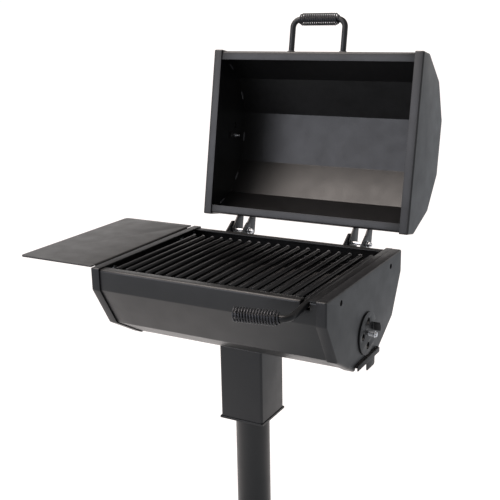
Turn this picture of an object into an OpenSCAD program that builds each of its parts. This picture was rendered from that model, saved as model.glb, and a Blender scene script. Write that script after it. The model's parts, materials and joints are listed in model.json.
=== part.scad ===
// Smoker grill on a post, drawn with its lid open: a firebox of folded sheet, a lid of the same
// outline hinged behind it, a bar grate, a side shelf, two round dampers and an ash tray.
// Origin: centre of the base plate's underside. +Z is up, -Y is the cook's side, +X the draft end.

/* [Post] */
// Side of the square base plate
base_side = 360; // [300:5:480]
// Thickness of the base plate
base_thick = 10; // [6:1:16]
// Distance of the anchor holes from the base plate's edges
anchor_inset = 30; // [22:1:50]
// Diameter of the anchor holes
anchor_hole_d = 14; // [10:1:20]
// Outside diameter of the post pipe
pipe_d = 88.9; // [80:0.1:100]
// Wall of the post pipe
pipe_wall = 5.5; // [3:0.5:8]
// Thickness of the cap welded on the pipe
pipe_cap_thick = 8; // [5:1:12]
// Height of the firebox rim above the ground
rim_height = 865; // [780:5:960]

/* [Sleeve] */
// Side of the square sleeve that turns on the post
sleeve_side = 121; // [115:1:140]
// Wall of the sleeve
sleeve_wall = 4.5; // [3:0.5:5.5]
// Length of the sleeve below the firebox
sleeve_length = 204; // [160:2:240]
// Thickness of the plate that rests on the post's cap
bearing_thick = 8; // [5:1:12]
// Thickness of the two guide plates round the post
guide_thick = 6; // [4:1:10]
// How far the upper guide plate lies below the bearing plate
guide_drop = 40; // [30:1:70]
// How far the lower guide plate stands out of the sleeve
collar_lip = 2; // [1:0.5:5]
// Running gap between the post and what turns on it
swivel_gap = 0.3; // [0.2:0.1:0.6]

/* [Firebox] */
// Length of the firebox over its end plates
box_length = 632; // [600:2:680]
// Depth of the firebox from front to back
box_depth = 476; // [464:2:520]
// Thickness of the folded sheet
sheet = 3.4; // [2.6:0.1:4.2]
// Height of the upright walls under the rim
box_wall = 57; // [50:1:70]
// Width of the steep panels below the walls
upper_facet = 120; // [112:1:128]
// Width of the flat panels beside the floor
lower_facet = 118; // [110:1:124]
// Angle of each fold
fold_angle = 30; // [29:0.5:31]
// Width of the flange round each end plate
end_flange = 25; // [15:1:30]
// Width of the lips at the rim
rim_lip = 28; // [20:1:30]

/* [Lid] */
// How much shorter the lid is than the firebox, at each end
lid_relief = 2; // [1:0.5:4]
// Height of the lid's upright walls
lid_wall = 50; // [44:1:60]
// Angle between the lid shut and the lid open against its stop
lid_open = 101; // [96:1:110]
// Gap between the rims when the lid is shut
rim_gap = 0.5; // [0.3:0.1:1.5]

/* [Hinges] */
// Distance between the middles of the two hinges
hinge_spread = 360; // [300:5:420]
// How far the pins lie behind the back wall
pin_back = 39; // [36:0.5:46]
// How far the pins lie below the rim
pin_drop = 8; // [6:0.5:12]
// Diameter of the hinge bolts
pin_d = 10; // [8:0.5:12]
// Radial clearance of the hinge bolts in their holes
pin_fit = 0.1; // [0.05:0.05:0.3]
// Thickness of the hinge ears
ear_thick = 4; // [3:0.5:6]
// Clear width between the lid's two ears
ear_gap = 36; // [30:1:44]
// Play between a lid ear and a firebox ear
ear_play = 0.3; // [0.2:0.1:0.6]
// Radius of the lid ears round the pin
ear_round = 13; // [11:0.5:16]
// How far the lid's ears reach up the lid's wall
ear_rise = 38; // [30:1:44]
// How far the firebox ears stand above the pins
ear_top = 26; // [18:1:28]
// How far the firebox ears reach behind the pins
ear_back = 16; // [14:1:24]
// How far the firebox ears reach down the wall
ear_foot = 52; // [45:1:56]
// How far before the pins the firebox ears reach their full height
ear_lead = 6; // [4:0.5:10]
// How far above the pins the web for the open lid's ears begins, along those ears
stop_from = 5; // [4:0.5:6]
// Length of the web that the open lid's ears rest on
stop_length = 12; // [8:1:14]
// Gap between the open lid's ears and that web
stop_gap = 0.3; // [0.2:0.1:0.6]

/* [Handles] */
// Diameter of the round bar that the grate is made of
bar_d = 12.7; // [11:0.1:14]
// Diameter of the round bar that both handles are made of
handle_d = 15.9; // [14.5:0.1:17]
// Distance between the legs of the lid's handle
handle_spread = 156; // [140:1:180]
// How far the lid's handle stands out of the lid
handle_reach = 90; // [75:1:100]
// Radius of the bends in the lid's handle
handle_bend = 22; // [18:1:26]
// Outside diameter of the spring grips
grip_d = 34.5; // [33:0.5:36]
// Diameter of the grips' wire
grip_wire = 4; // [3.4:0.1:4.4]
// Pitch of the grips' turns
grip_pitch = 6.5; // [6:0.1:7]
// Turns of the lid's grip
lid_grip_turns = 18; // [14:1:19]
// Turns of the grate's grip
grate_grip_turns = 16; // [13:1:18]
// Turns over which a grip closes on its bar
grip_taper = 1.5; // [1:0.25:2]
// Gap between the ends of a grip and its bar
grip_seat = 0.3; // [0.2:0.1:0.5]

/* [Grate] */
// Number of grate bars, with the one that ends in the handle
bar_count = 19; // [15:1:21]
// Distance of the first and the last bar from the firebox's ends
bar_margin = 52.5; // [48:0.5:62]
// Depth of the bars' middle below the rim
bar_drop = 10; // [9:0.5:14]
// How far the bars' front ends lie before the middle
bars_front = 200; // [190:1:205]
// How far the front cross rod lies before the middle
front_rod = 185; // [165:1:188]
// How far the back cross rod lies behind the middle
back_rod = 152; // [140:1:190]
// How far the bars reach behind the back rod
bar_overhang = 8; // [7:0.5:9]
// Gap left for the welds of the grate
weld_gap = 0.1; // [0.05:0.05:0.3]
// Width of the angle rails that carry the grate
rail_width = 30; // [26:1:34]
// Thickness of the rails
rail_thick = 4; // [3:0.5:6]
// How far the rails' level legs are cut back at both ends, beside the shelf bolts
rail_cope = 16; // [12:1:22]
// Thickness of the straps that keep the back rod down
keeper_thick = 6; // [4:0.5:8]
// Metal of the straps round the back rod
keeper_wall = 4; // [3:0.5:5]
// Running clearance of the back rod under its straps
keeper_fit = 0.3; // [0.2:0.1:0.5]
// Side play between the straps and the last bars, and how far the back rod reaches past its straps
keeper_play = 2.5; // [1:0.5:5]
// Droop of the handle bar from the front cross rod on
handle_droop = 5.5; // [0:0.5:6.5]
// How far in front of the firebox the handle bar's bend begins
handle_run = 55; // [44:1:65]
// Radius of the bend in the handle bar
grate_bend = 20; // [18:1:26]
// Angle of the bend in the handle bar
grate_turn = 82; // [65:1:90]
// Width of the notch that the handle bar leaves by
notch_width = 24; // [19:1:28]
// Clearance under the handle bar in its notch
notch_clear = 2; // [1:0.5:4]

/* [Shelf] */
// Width of the shelf beside the firebox
shelf_width = 231; // [200:1:280]
// Depth of the shelf from front to back
shelf_depth = 460; // [420:2:470]
// How far the shelf's middle lies before the firebox's
shelf_shift = 5; // [0:1:8]
// How far the shelf's top lies above the rim
shelf_rise = 3; // [0:0.5:6]
// Radius of the shelf's free corners
shelf_round = 12; // [6:1:25]
// Height of the shelf's flange on the end plate
shelf_flange = 45; // [40:1:52]
// How much shorter the flange is than the shelf, at each end
flange_inset = 20; // [5:1:40]
// Distance between the shelf bolts
shelf_bolt_spread = 316; // [280:2:340]
// How far the shelf bolts lie below the rim
shelf_bolt_drop = 24; // [20:1:28]
// Diameter of the shelf bolts
shelf_bolt_d = 12; // [10:0.5:13]
// Radial clearance of the shelf bolts in their holes
shelf_bolt_fit = 0.5; // [0.2:0.1:0.7]
// Radial clearance that the free holes for a second shelf leave to such bolts
free_hole_fit = 1; // [0.8:0.1:1.5]

/* [Dampers] */
// Diameter of the damper discs
disc_d = 106; // [100:1:114]
// Distance of the dampers' middle from the rim
damper_offset = 148; // [142:1:150]
// Diameter of the air holes
air_hole_d = 18; // [14:0.5:20]
// Distance of the air holes from the damper's middle
air_hole_r = 31; // [28:1:34]
// Width of the tab that turns a disc
tab_width = 22; // [18:1:26]
// How far the tab stands out of the disc
tab_reach = 19; // [15:1:21]
// Turn of the tab from the level
tab_turn = 12; // [0:1:20]
// Diameter of the damper bolts
damper_bolt_d = 6.4; // [5:0.1:7]
// How far the damper bolts stand out of the end plates
damper_bolt_out = 26; // [24:1:36]
// How far the damper bolts reach inside the end plates
damper_bolt_in = 18; // [12:1:24]
// Running gap on both faces of a disc
disc_gap = 0.3; // [0.2:0.1:0.5]
// Radial clearance of a disc on its bolt
disc_fit = 0.1; // [0.05:0.05:0.3]
// Outside diameter of the damper springs
damper_spring_d = 11; // [10.6:0.1:12]
// Diameter of the damper springs' wire
damper_wire = 1.6; // [1.2:0.1:1.8]
// Turns of a damper spring
damper_turns = 5; // [3:1:6]
// Turn of the lid's disc from open, so that it covers the air holes
vent_turn = 45; // [36:1:54]

/* [Ash tray] */
// Thickness of the tray's sheet
tray_sheet = 2; // [1.5:0.1:2.5]
// Height of the tray's edges
tray_height = 6; // [5:0.5:12]
// Gap between the tray and the panels beside it
tray_side_gap = 3; // [2:0.5:6]
// Running gap under the tray and over it in the end plate
tray_gap = 0.3; // [0.2:0.1:0.8]
// How far the tray stands out of the end plate
tray_reach = 7; // [5:0.5:12]
// Width of the pull tab
pull_width = 52; // [40:1:80]
// Height of the pull tab under the tray's front
pull_height = 20; // [14:1:30]
// How far the pull tab lies behind the middle
pull_shift = 12; // [0:1:25]

/* [Hidden] */
$fn = 48;
// Rings to a turn and sides round a spring's wire
RINGS = 8;
WIRE_SIDES = 6;
// Overlap that lets one cut run clean through another
CUT = 1;

// Hardware of the trade
hex_bolt_head = 6.4;
hex_bolt_across = 14.3;
hinge_washer_d = 20;
hinge_washer_thick = 1.6;
hinge_bolt_tail = 4;
carriage_head_d = 27;
carriage_head_rise = 6;
shelf_nut_across = 19;
shelf_nut_thick = 10.4;
shelf_bolt_tail = 4;
damper_head_across = 11.1;
damper_head_thick = 4.4;
damper_washer_d = 16;
damper_washer_thick = 1.6;
damper_nut_thick = 5.6;

// Places that several pieces share, measured from the rim's middle
half_length = box_length / 2;
lid_half = half_length - lid_relief;
wall_y = box_depth / 2 - sheet;
floor_out = -fold_depth(box_wall, -sheet);
floor_in = -fold_depth(box_wall, -2 * sheet);
pin_y = wall_y + pin_back;
pin_z = -pin_drop;
bar_r = bar_d / 2;
bar_z = -bar_drop;
handle_r = handle_d / 2;
handle_z = bar_z + handle_r - bar_r;
rod_z = bar_z - bar_d - weld_gap;
rail_top = rod_z - bar_r;
handle_x = half_length - bar_margin;
bar_span = 2 * handle_x;
keeper_x = handle_x + handle_r + keeper_play + keeper_thick / 2;
rod_end = keeper_x + keeper_thick / 2 + keeper_play;
// The grips: radius of the wire's middle in the grip, and where its ends close on the bar.
// A turn of few rings cuts its corners, so its middle lies further out than the bar needs.
grip_r = (grip_d - grip_wire) / 2;
grip_end_r = (handle_r + grip_seat + grip_wire / 2) / cos(180 / RINGS);
damper_spring_r = (damper_spring_d - damper_wire) / 2;
// Where a disc, its spring and the bolt's washer lie outside an end plate
disc_outer = disc_gap + sheet;
damper_washer_x = damper_bolt_out - damper_head_thick - damper_washer_thick;
damper_spring_room = damper_washer_x - disc_outer - 2 * disc_gap - damper_wire;
// The sleeve and the post, from the ground
sleeve_top = rim_height + floor_out;
sleeve_bottom = rim_height - fold_depth(box_wall, 0) - sleeve_length;
bearing_bottom = sleeve_top - bearing_thick;
post_top = bearing_bottom - swivel_gap;
guide_bore = pipe_d + 2 * swivel_gap;
// The grate's handle bar: its length from the front rod to the bend, its level at the front wall,
// and the length of the grip on it
droop_run = (box_depth / 2 + handle_run - front_rod) / cos(handle_droop);
droop_at_wall = handle_z - (box_depth / 2 - front_rod) * tan(handle_droop);
notch_bottom = droop_at_wall - handle_r / cos(handle_droop) - notch_clear;
grate_grip_length = grate_grip_turns * grip_pitch;
// The tray
tray_z = floor_in + tray_gap;
tray_half = fold_floor(box_wall, -2 * sheet) - tray_side_gap;
tray_top = tray_z + tray_height;
tray_front_z = -fold_depth(box_wall, 0);

// Half of the outline of firebox and lid: rim, foot of the wall, and the ends of the two panels.
// grow moves the whole outline outwards, and top is the level at which it starts.
function fold_half(wall, grow, top) =
    let (
        turn = 2 * grow * tan(fold_angle / 2),
        rim = [-box_depth / 2 - grow, top],
        foot = [rim.x, -wall - turn / 2],
        knee = foot + (upper_facet + turn) * [sin(fold_angle), -cos(fold_angle)],
        base = knee + (lower_facet + turn) * [sin(2 * fold_angle), -cos(2 * fold_angle)]
    ) [rim, foot, knee, base];

function fold_outline(wall, grow, top) =
    let (half = fold_half(wall, grow, top))
    concat(half, [for (i = [len(half) - 1 : -1 : 0]) [-half[i].x, half[i].y]]);

function fold_depth(wall, grow) = -fold_half(wall, grow, 0)[3].y;

function fold_floor(wall, grow) = -fold_half(wall, grow, 0)[3].x;

// Point where the line from a place touches a circle, on the side that side (1 or -1) names
function touch_point(place, centre, radius, side) =
    let (
        d = place - centre,
        a = atan2(d.y, d.x) + side * acos(radius / norm(d))
    ) centre + radius * [cos(a), sin(a)];

function ease(x) = x <= 0 ? 0 : x * x * (3 - 2 * x);

// Middle of a spring's wire. The radius closes to first and last over taper turns at the two ends.
function spring_path(turns, pitch, radius, first, last, taper) = [
    for (i = [0 : turns * RINGS])
        let (
            n = i / RINGS,
            r = radius - (radius - first) * ease(1 - n / taper) - (radius - last) * ease(1 - (turns - n) / taper),
            a = 360 * n
        ) [r * cos(a), r * sin(a), pitch * n]
];

function unit(v) = v / norm(v);

// The same path with a straight run of one wire diameter at each end
function with_ends(path, wire) =
    let (last = len(path) - 1)
    concat(
        [path[0] + wire * unit(path[0] - path[1])],
        path,
        [path[last] + wire * unit(path[last] - path[last - 1])]
    );

// Least gap between one turn of a spring and the next, measured between the wire's rings
function least_gap(path, wire) = min([
    for (i = [0 : len(path) - 1]) for (j = [i + RINGS / 2 : 1 : len(path) - 1]) norm(path[i] - path[j]) - wire
]);

lid_grip_path = spring_path(lid_grip_turns, grip_pitch, grip_r, grip_end_r, grip_end_r, grip_taper);
grate_grip_path = spring_path(grate_grip_turns, grip_pitch, grip_r, grip_end_r, grip_r, grip_taper);
damper_spring_path = spring_path(
    damper_turns, damper_spring_room / damper_turns, damper_spring_r, damper_spring_r, damper_spring_r, 1
);
echo(least_gap_lid_grip = least_gap(lid_grip_path, grip_wire));
echo(least_gap_grate_grip = least_gap(grate_grip_path, grip_wire));
echo(least_gap_damper_spring = least_gap(damper_spring_path, damper_wire));

// Frames in which the pieces are drawn

module head() {
    translate([0, 0, rim_height]) children();
}

// The lid is drawn shut and turned up about its pins
module on_lid() {
    head()
        translate([0, pin_y, pin_z])
            rotate([-lid_open, 0, 0])
                translate([0, -pin_y, -pin_z]) children();
}

// The dampers: +X leads out of the end plate, whose outer face is at 0
module at_draft() {
    head() translate([half_length, 0, -damper_offset]) children();
}

module at_vent() {
    on_lid() translate([-lid_half, 0, rim_gap + damper_offset]) mirror([1, 0, 0]) children();
}

module each_hinge() {
    for (side = [-1, 1]) translate([side * hinge_spread / 2, 0, 0]) children();
}

module each_shelf_bolt() {
    for (side = [-1, 1]) translate([0, side * shelf_bolt_spread / 2, -shelf_bolt_drop]) children();
}

// Basic shapes

// Extrudes a drawing of the Y-Z plane from one X to another
module along_x(from, to) {
    translate([from, 0, 0]) rotate([90, 0, 90]) linear_extrude(to - from) children();
}

module rod_x(d, from, to) {
    translate([from, 0, 0]) rotate([0, 90, 0]) cylinder(d = d, h = to - from);
}

module rod_y(d, from, to) {
    translate([0, from, 0]) rotate([-90, 0, 0]) cylinder(d = d, h = to - from);
}

module hex_x(across, from, to) {
    translate([from, 0, 0]) rotate([0, 90, 0]) cylinder(d = across / cos(30), h = to - from, $fn = 6);
}

module ring_x(outer, inner, from, to) {
    difference() {
        rod_x(outer, from, to);
        rod_x(inner, from - CUT, to + CUT);
    }
}

module hex_nut_x(across, bore, from, to) {
    difference() {
        hex_x(across, from, to);
        rod_x(bore, from - CUT, to + CUT);
    }
}

// A quarter or less of a ring of a handle's bar in the X-Y plane, from +X towards +Y
module bar_bend(radius, angle) {
    rotate_extrude(angle = angle) translate([radius, 0]) circle(d = handle_d);
}

// A round wire along a path that climbs +Z in turns
module spring(path, wire) {
    run = with_ends(path, wire);
    last = len(run) - 1;
    points = [
        for (i = [0 : last])
            let (
                lead = unit(run[min(i + 1, last)] - run[max(i - 1, 0)]),
                out = [run[i].x, run[i].y, 0],
                side = unit(out - (out * lead) * lead),
                up = cross(lead, side)
            )
            for (k = [0 : WIRE_SIDES - 1])
                let (a = 360 * k / WIRE_SIDES)
                run[i] + wire / 2 * (cos(a) * side + sin(a) * up)
    ];
    skin = [
        for (i = [0 : last - 1]) for (k = [0 : WIRE_SIDES - 1])
            let (
                a = i * WIRE_SIDES + k,
                b = i * WIRE_SIDES + (k + 1) % WIRE_SIDES
            ) each [[a, a + WIRE_SIDES, b], [b, a + WIRE_SIDES, b + WIRE_SIDES]]
    ];
    first_end = [for (k = [1 : WIRE_SIDES - 2]) [0, k, k + 1]];
    top = last * WIRE_SIDES;
    last_end = [for (k = [1 : WIRE_SIDES - 2]) [top, top + k + 1, top + k]];
    polyhedron(points = points, faces = concat(skin, first_end, last_end));
}

// Sheet metal of firebox and lid, drawn as the firebox is: rim up, at level 0

module folded_shell(wall, half) {
    difference() {
        along_x(sheet - half, half - sheet) polygon(fold_outline(wall, -sheet, -sheet));
        along_x(-half, half) polygon(fold_outline(wall, -2 * sheet, -2 * sheet));
        translate([-half, rim_lip - box_depth / 2, -3 * sheet])
            cube([2 * half, box_depth - 2 * rim_lip, 4 * sheet]);
    }
}

// An end plate with its flange all round, for the end at -X
module end_pan(wall, half) {
    difference() {
        along_x(-half, end_flange - half) polygon(fold_outline(wall, 0, 0));
        along_x(sheet - half, half) polygon(fold_outline(wall, -sheet, -sheet));
    }
}

// Holes for a damper's air and its bolt through an end plate, around the damper's middle
module damper_holes() {
    for (turn = [90, 180, 270]) rotate([turn, 0, 0]) translate([0, air_hole_r, 0]) rod_x(air_hole_d, -CUT, 2 * CUT + sheet);
    rod_x(damper_bolt_d + 2 * disc_fit, -CUT, 2 * CUT + sheet);
}

// Post

module base_plate() {
    hole_at = base_side / 2 - anchor_inset;
    color("#2e2f33")
        difference() {
            translate([-base_side / 2, -base_side / 2, 0]) cube([base_side, base_side, base_thick]);
            for (x = [-hole_at, hole_at]) for (y = [-hole_at, hole_at])
                translate([x, y, -CUT]) cylinder(d = anchor_hole_d, h = base_thick + 2 * CUT);
        }
}

module post_pipe() {
    pipe_length = post_top - pipe_cap_thick - base_thick;
    color("#34353a")
        translate([0, 0, base_thick])
            difference() {
                cylinder(d = pipe_d, h = pipe_length);
                translate([0, 0, -CUT]) cylinder(d = pipe_d - 2 * pipe_wall, h = pipe_length + 2 * CUT);
            }
}

module post_cap() {
    color("#3a3b40") translate([0, 0, post_top - pipe_cap_thick]) cylinder(d = pipe_d, h = pipe_cap_thick);
}

// Sleeve

module square_plate(side, bottom, thick) {
    translate([-side / 2, -side / 2, bottom]) cube([side, side, thick]);
}

module sleeve() {
    from = sleeve_bottom + guide_thick;
    color("#3c3d42")
        difference() {
            square_plate(sleeve_side, from, sleeve_top - from);
            square_plate(sleeve_side - 2 * sleeve_wall, from - CUT, sleeve_top - from + 2 * CUT);
        }
}

module sleeve_bearing() {
    color("#3a3b40") square_plate(sleeve_side - 2 * sleeve_wall, bearing_bottom, bearing_thick);
}

module guide_plate(side, bottom) {
    difference() {
        square_plate(side, bottom, guide_thick);
        translate([0, 0, bottom - CUT]) cylinder(d = guide_bore, h = guide_thick + 2 * CUT);
    }
}

module sleeve_guides() {
    color("#3a3b40") {
        guide_plate(sleeve_side + 2 * collar_lip, sleeve_bottom);
        guide_plate(sleeve_side - 2 * sleeve_wall, bearing_bottom - guide_drop);
    }
}

// Firebox

module firebox_shell() {
    color("#55524f")
        head()
            difference() {
                folded_shell(box_wall, half_length);
                translate([handle_x - notch_width / 2, -box_depth / 2, notch_bottom])
                    cube([notch_width, rim_lip + CUT, -notch_bottom]);
            }
}

module shelf_bolt_holes(fit) {
    each_shelf_bolt()
        rod_x(shelf_bolt_d + 2 * fit, -half_length - sheet - CUT, CUT + sheet - half_length);
}

module firebox_end_left() {
    color("#46494e")
        head()
            difference() {
                end_pan(box_wall, half_length);
                shelf_bolt_holes(shelf_bolt_fit);
            }
}

// The draft end: air holes, the notch that the ash tray runs in, and holes for a second shelf
module firebox_end_right() {
    notch_half = tray_half + tray_gap;
    color("#46494e")
        difference() {
            head() mirror([1, 0, 0])
                difference() {
                    end_pan(box_wall, half_length);
                    shelf_bolt_holes(free_hole_fit);
                    translate([-half_length - CUT, -notch_half, tray_top + tray_gap - box_depth])
                        cube([end_flange + 2 * CUT, 2 * notch_half, box_depth]);
                }
            at_draft() translate([-sheet, 0, 0]) damper_holes();
        }
}

// An angle under one cross rod, with its upright leg at -Y
module grate_rail() {
    half = half_length - sheet;
    translate([rail_cope - half, -rail_width / 2, -rail_thick])
        cube([2 * (half - rail_cope), rail_width, rail_thick]);
    translate([-half, -rail_width / 2, -rail_width]) cube([2 * half, rail_thick, rail_width]);
}

module grate_rails() {
    color("#3a3a3c")
        head() {
            translate([0, -front_rod, rail_top]) mirror([0, 1, 0]) grate_rail();
            translate([0, back_rod, rail_top]) grate_rail();
        }
}

module grate_keepers() {
    bore_r = bar_r + keeper_fit;
    half_width = bore_r + keeper_wall;
    top = rod_z + half_width;
    color("#3a3a3c")
        head()
            for (side = [-1, 1]) translate([side * keeper_x - keeper_thick / 2, back_rod, 0])
                difference() {
                    translate([0, -half_width, rail_top]) cube([keeper_thick, 2 * half_width, top - rail_top]);
                    translate([0, 0, rod_z]) rod_x(2 * bore_r, -CUT, keeper_thick + CUT);
                    translate([-CUT, -bore_r, rod_z - 2 * bore_r]) cube([keeper_thick + 2 * CUT, 2 * bore_r, 2 * bore_r]);
                }
}

// Hinges: the firebox ears stand outside the lid's ears, and a web between them stops the open lid

module firebox_ears() {
    inner = ear_gap / 2 + ear_thick + ear_play;
    top_fall = (ear_back + ear_lead) * cos(lid_open) / sin(lid_open);
    stop_low = (ear_round + stop_gap + ear_thick) * sin(lid_open) - (stop_from + stop_length) * cos(lid_open);
    color("#3a3b3f")
        at_pins() {
            difference() {
                for (side = [0, 1]) mirror([side, 0, 0])
                    along_x(inner, inner + ear_thick)
                        polygon([
                            [-pin_back, pin_drop - sheet],
                            [-ear_lead, ear_top],
                            [ear_back, ear_top + top_fall],
                            [ear_back, -stop_low - CUT],
                            [-pin_back, pin_drop - ear_foot]
                        ]);
                rod_x(pin_d + 2 * pin_fit, -2 * inner, 2 * inner);
            }
            rotate([-lid_open, 0, 0])
                translate([-inner, ear_round + stop_gap, stop_from]) cube([2 * inner, ear_thick, stop_length]);
        }
}

module lid_ears() {
    low = [wall_y, rim_gap + sheet];
    pin = [pin_y, pin_z];
    touch = touch_point(low, pin, ear_round, 1);
    inner = ear_gap / 2;
    color("#4a4c50")
        on_lid()
            each_hinge()
                difference() {
                    for (side = [0, 1]) mirror([side, 0, 0]) {
                        along_x(inner, inner + ear_thick)
                            polygon([
                                low, touch, pin, [pin_y + ear_round, pin_z],
                                [pin_y + ear_round, rim_gap + ear_rise], [wall_y, rim_gap + ear_rise]
                            ]);
                        translate([0, pin_y, pin_z]) rod_x(2 * ear_round, inner, inner + ear_thick);
                    }
                    translate([0, pin_y, pin_z]) rod_x(pin_d + 2 * pin_fit, -2 * inner, 2 * inner);
                }
}

ears_half = ear_gap / 2 + 2 * ear_thick + ear_play;
nut_at = ears_half + hinge_washer_thick;
hinge_nut_thick = pin_d * 0.86;

module at_pins() {
    head() each_hinge() translate([0, pin_y, pin_z]) children();
}

module hinge_bolts() {
    color("#c9ccd2")
        at_pins() {
            rod_x(pin_d, -ears_half, nut_at + hinge_nut_thick + hinge_bolt_tail);
            hex_x(hex_bolt_across * pin_d / 10, -ears_half - hex_bolt_head, -ears_half);
        }
}

module hinge_washers() {
    color("#b9bcc2") at_pins() ring_x(hinge_washer_d, pin_d + 2 * pin_fit, ears_half, nut_at);
}

module hinge_nuts() {
    color("#c9ccd2") at_pins() hex_nut_x(hex_bolt_across * pin_d / 10, pin_d, nut_at, nut_at + hinge_nut_thick);
}

// Shelf

module shelf() {
    half = shelf_depth / 2;
    edge = -half_length;
    color("#6d6862")
        head()
            difference() {
                translate([0, -shelf_shift, 0]) {
                    translate([edge - shelf_width, 0, shelf_rise - sheet])
                        linear_extrude(sheet) {
                            translate([shelf_round, -half]) square([shelf_width - shelf_round, shelf_depth]);
                            translate([0, shelf_round - half]) square([shelf_round, shelf_depth - 2 * shelf_round]);
                            for (side = [-1, 1])
                                translate([shelf_round, side * (half - shelf_round)]) circle(r = shelf_round);
                        }
                    translate([edge - sheet, flange_inset - half, shelf_rise - shelf_flange])
                        cube([sheet, shelf_depth - 2 * flange_inset, shelf_flange]);
                }
                shelf_bolt_holes(shelf_bolt_fit);
            }
}

module shelf_bolts() {
    face = -half_length - sheet;
    cap_r = (pow(carriage_head_d / 2, 2) + pow(carriage_head_rise, 2)) / (2 * carriage_head_rise);
    color("#b9bcc2")
        head()
            each_shelf_bolt() {
                rod_x(shelf_bolt_d, face, sheet - half_length + shelf_nut_thick + shelf_bolt_tail);
                intersection() {
                    translate([face + cap_r - carriage_head_rise, 0, 0]) sphere(r = cap_r);
                    rod_x(2 * cap_r, face - 2 * carriage_head_rise, face);
                }
            }
}

module shelf_nuts() {
    face = sheet - half_length;
    color("#b9bcc2") head() each_shelf_bolt() hex_nut_x(shelf_nut_across, shelf_bolt_d, face, face + shelf_nut_thick);
}

// Dampers

module damper_bolt() {
    rod_x(damper_bolt_d, -sheet - damper_bolt_in, damper_bolt_out - damper_head_thick);
    hex_x(damper_head_across, damper_bolt_out - damper_head_thick, damper_bolt_out);
}

module damper_spring() {
    translate([disc_outer + disc_gap + damper_wire / 2, 0, 0])
        rotate([0, 90, 0]) spring(damper_spring_path, damper_wire);
}

module damper_washer() {
    ring_x(damper_washer_d, damper_bolt_d + 2 * disc_fit, damper_washer_x, damper_washer_x + damper_washer_thick);
}

module damper_nut() {
    hex_nut_x(damper_head_across, damper_bolt_d, -sheet - damper_nut_thick, -sheet);
}

// A disc whose edge is slit and folded out as a tab that turns it
module damper_disc() {
    fold_r = disc_d / 2 - tab_reach;
    difference() {
        rod_x(disc_d, disc_gap, disc_outer);
        translate([disc_gap, 0, 0]) damper_holes();
        rotate([tab_turn, 0, 0]) translate([0, fold_r, -tab_width / 2]) cube([disc_outer + CUT, disc_d, tab_width]);
    }
    rotate([tab_turn, 0, 0])
        translate([disc_gap, fold_r, -tab_width / 2]) cube([sheet + tab_reach, sheet, tab_width]);
}

module draft_bolt() {
    color("#d3d6da") at_draft() damper_bolt();
}

module draft_spring() {
    color("#d3d6da") at_draft() damper_spring();
}

module draft_washer() {
    color("#c9ccd2") at_draft() damper_washer();
}

module draft_nut() {
    color("#c9ccd2") at_draft() damper_nut();
}

module draft_disc() {
    color("#505358") at_draft() damper_disc();
}

module vent_bolt() {
    color("#d3d6da") at_vent() damper_bolt();
}

module vent_spring() {
    color("#d3d6da") at_vent() damper_spring();
}

module vent_washer() {
    color("#c9ccd2") at_vent() damper_washer();
}

module vent_nut() {
    color("#c9ccd2") at_vent() damper_nut();
}

module vent_disc() {
    color("#505358") at_vent() rotate([vent_turn, 0, 0]) damper_disc();
}

// Ash tray, on the firebox floor and out through the draft end, where its front covers the slot
module ash_tray() {
    from = 2 * sheet - half_length;
    end = half_length + tray_reach;
    inside = end - from - 2 * tray_sheet;
    color("#26272a")
        head() {
            difference() {
                translate([from, -tray_half, tray_z]) cube([end - from, 2 * tray_half, tray_height]);
                translate([from + tray_sheet, tray_sheet - tray_half, tray_z + tray_sheet])
                    cube([inside, 2 * (tray_half - tray_sheet), tray_height]);
            }
            translate([end - tray_sheet, -tray_half, tray_front_z])
                cube([tray_sheet, 2 * tray_half, tray_top - tray_front_z]);
            translate([end - tray_sheet, pull_shift - pull_width / 2, tray_front_z - pull_height])
                cube([tray_sheet, pull_width, pull_height + tray_height]);
        }
}

// Grate, which lifts about its back rod

module grate_bars() {
    step = bar_span / (bar_count - 1);
    color("#232325")
        head()
            for (i = [0 : bar_count - 2])
                translate([i * step - bar_span / 2, 0, bar_z]) rod_y(bar_d, -bars_front, back_rod + bar_overhang);
}

module grate_rods() {
    color("#2b2b2e")
        head() {
            translate([0, -front_rod, rod_z]) rod_x(bar_d, -handle_x - bar_r, handle_x + handle_r);
            translate([0, back_rod, rod_z]) rod_x(bar_d, -rod_end, rod_end);
        }
}

// The handle bar from the front rod on, where it droops and leads along -Y
module at_droop() {
    head() translate([handle_x, -front_rod, handle_z]) rotate([handle_droop, 0, 0]) children();
}

module at_bend() {
    at_droop() translate([-grate_bend, -droop_run, 0]) rotate([0, 0, -grate_turn]) children();
}

// Puts what leads along +X at the end of the handle bar's bend
module after_bend() {
    at_bend() translate([grate_bend, 0, 0]) rotate([0, 0, -90]) children();
}

// A block on one side of the plane that halves the handle bar's kink, where the handle is welded on
module kink_side(from) {
    rotate([handle_droop / 2, 0, 0])
        translate([-handle_d, from, -handle_d]) cube([2 * handle_d, 2 * handle_d, 2 * handle_d]);
}

// The last bar: down a little, out through the notch, round a bend and into the grip
module grate_handle_bar() {
    color("#2b2b2e") {
        head()
            translate([handle_x, -front_rod, handle_z]) {
                difference() {
                    rod_y(handle_d, -handle_d, front_rod + back_rod + bar_overhang);
                    kink_side(weld_gap / 2 - 2 * handle_d);
                }
                difference() {
                    rotate([handle_droop, 0, 0]) rod_y(handle_d, -droop_run, handle_d);
                    kink_side(-weld_gap / 2);
                }
            }
        at_bend() bar_bend(grate_bend, grate_turn);
        after_bend() rod_x(handle_d, 0, grate_grip_length + grip_wire / 2);
    }
}

module grate_grip() {
    color("#1c1c1e")
        after_bend() translate([grip_wire, 0, 0]) rotate([0, 90, 0]) spring(grate_grip_path, grip_wire);
}

// Lid

module drawn_as_lid() {
    on_lid() translate([0, 0, rim_gap]) mirror([0, 0, 1]) children();
}

module lid_shell() {
    color("#4b4845") drawn_as_lid() folded_shell(lid_wall, lid_half);
}

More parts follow.
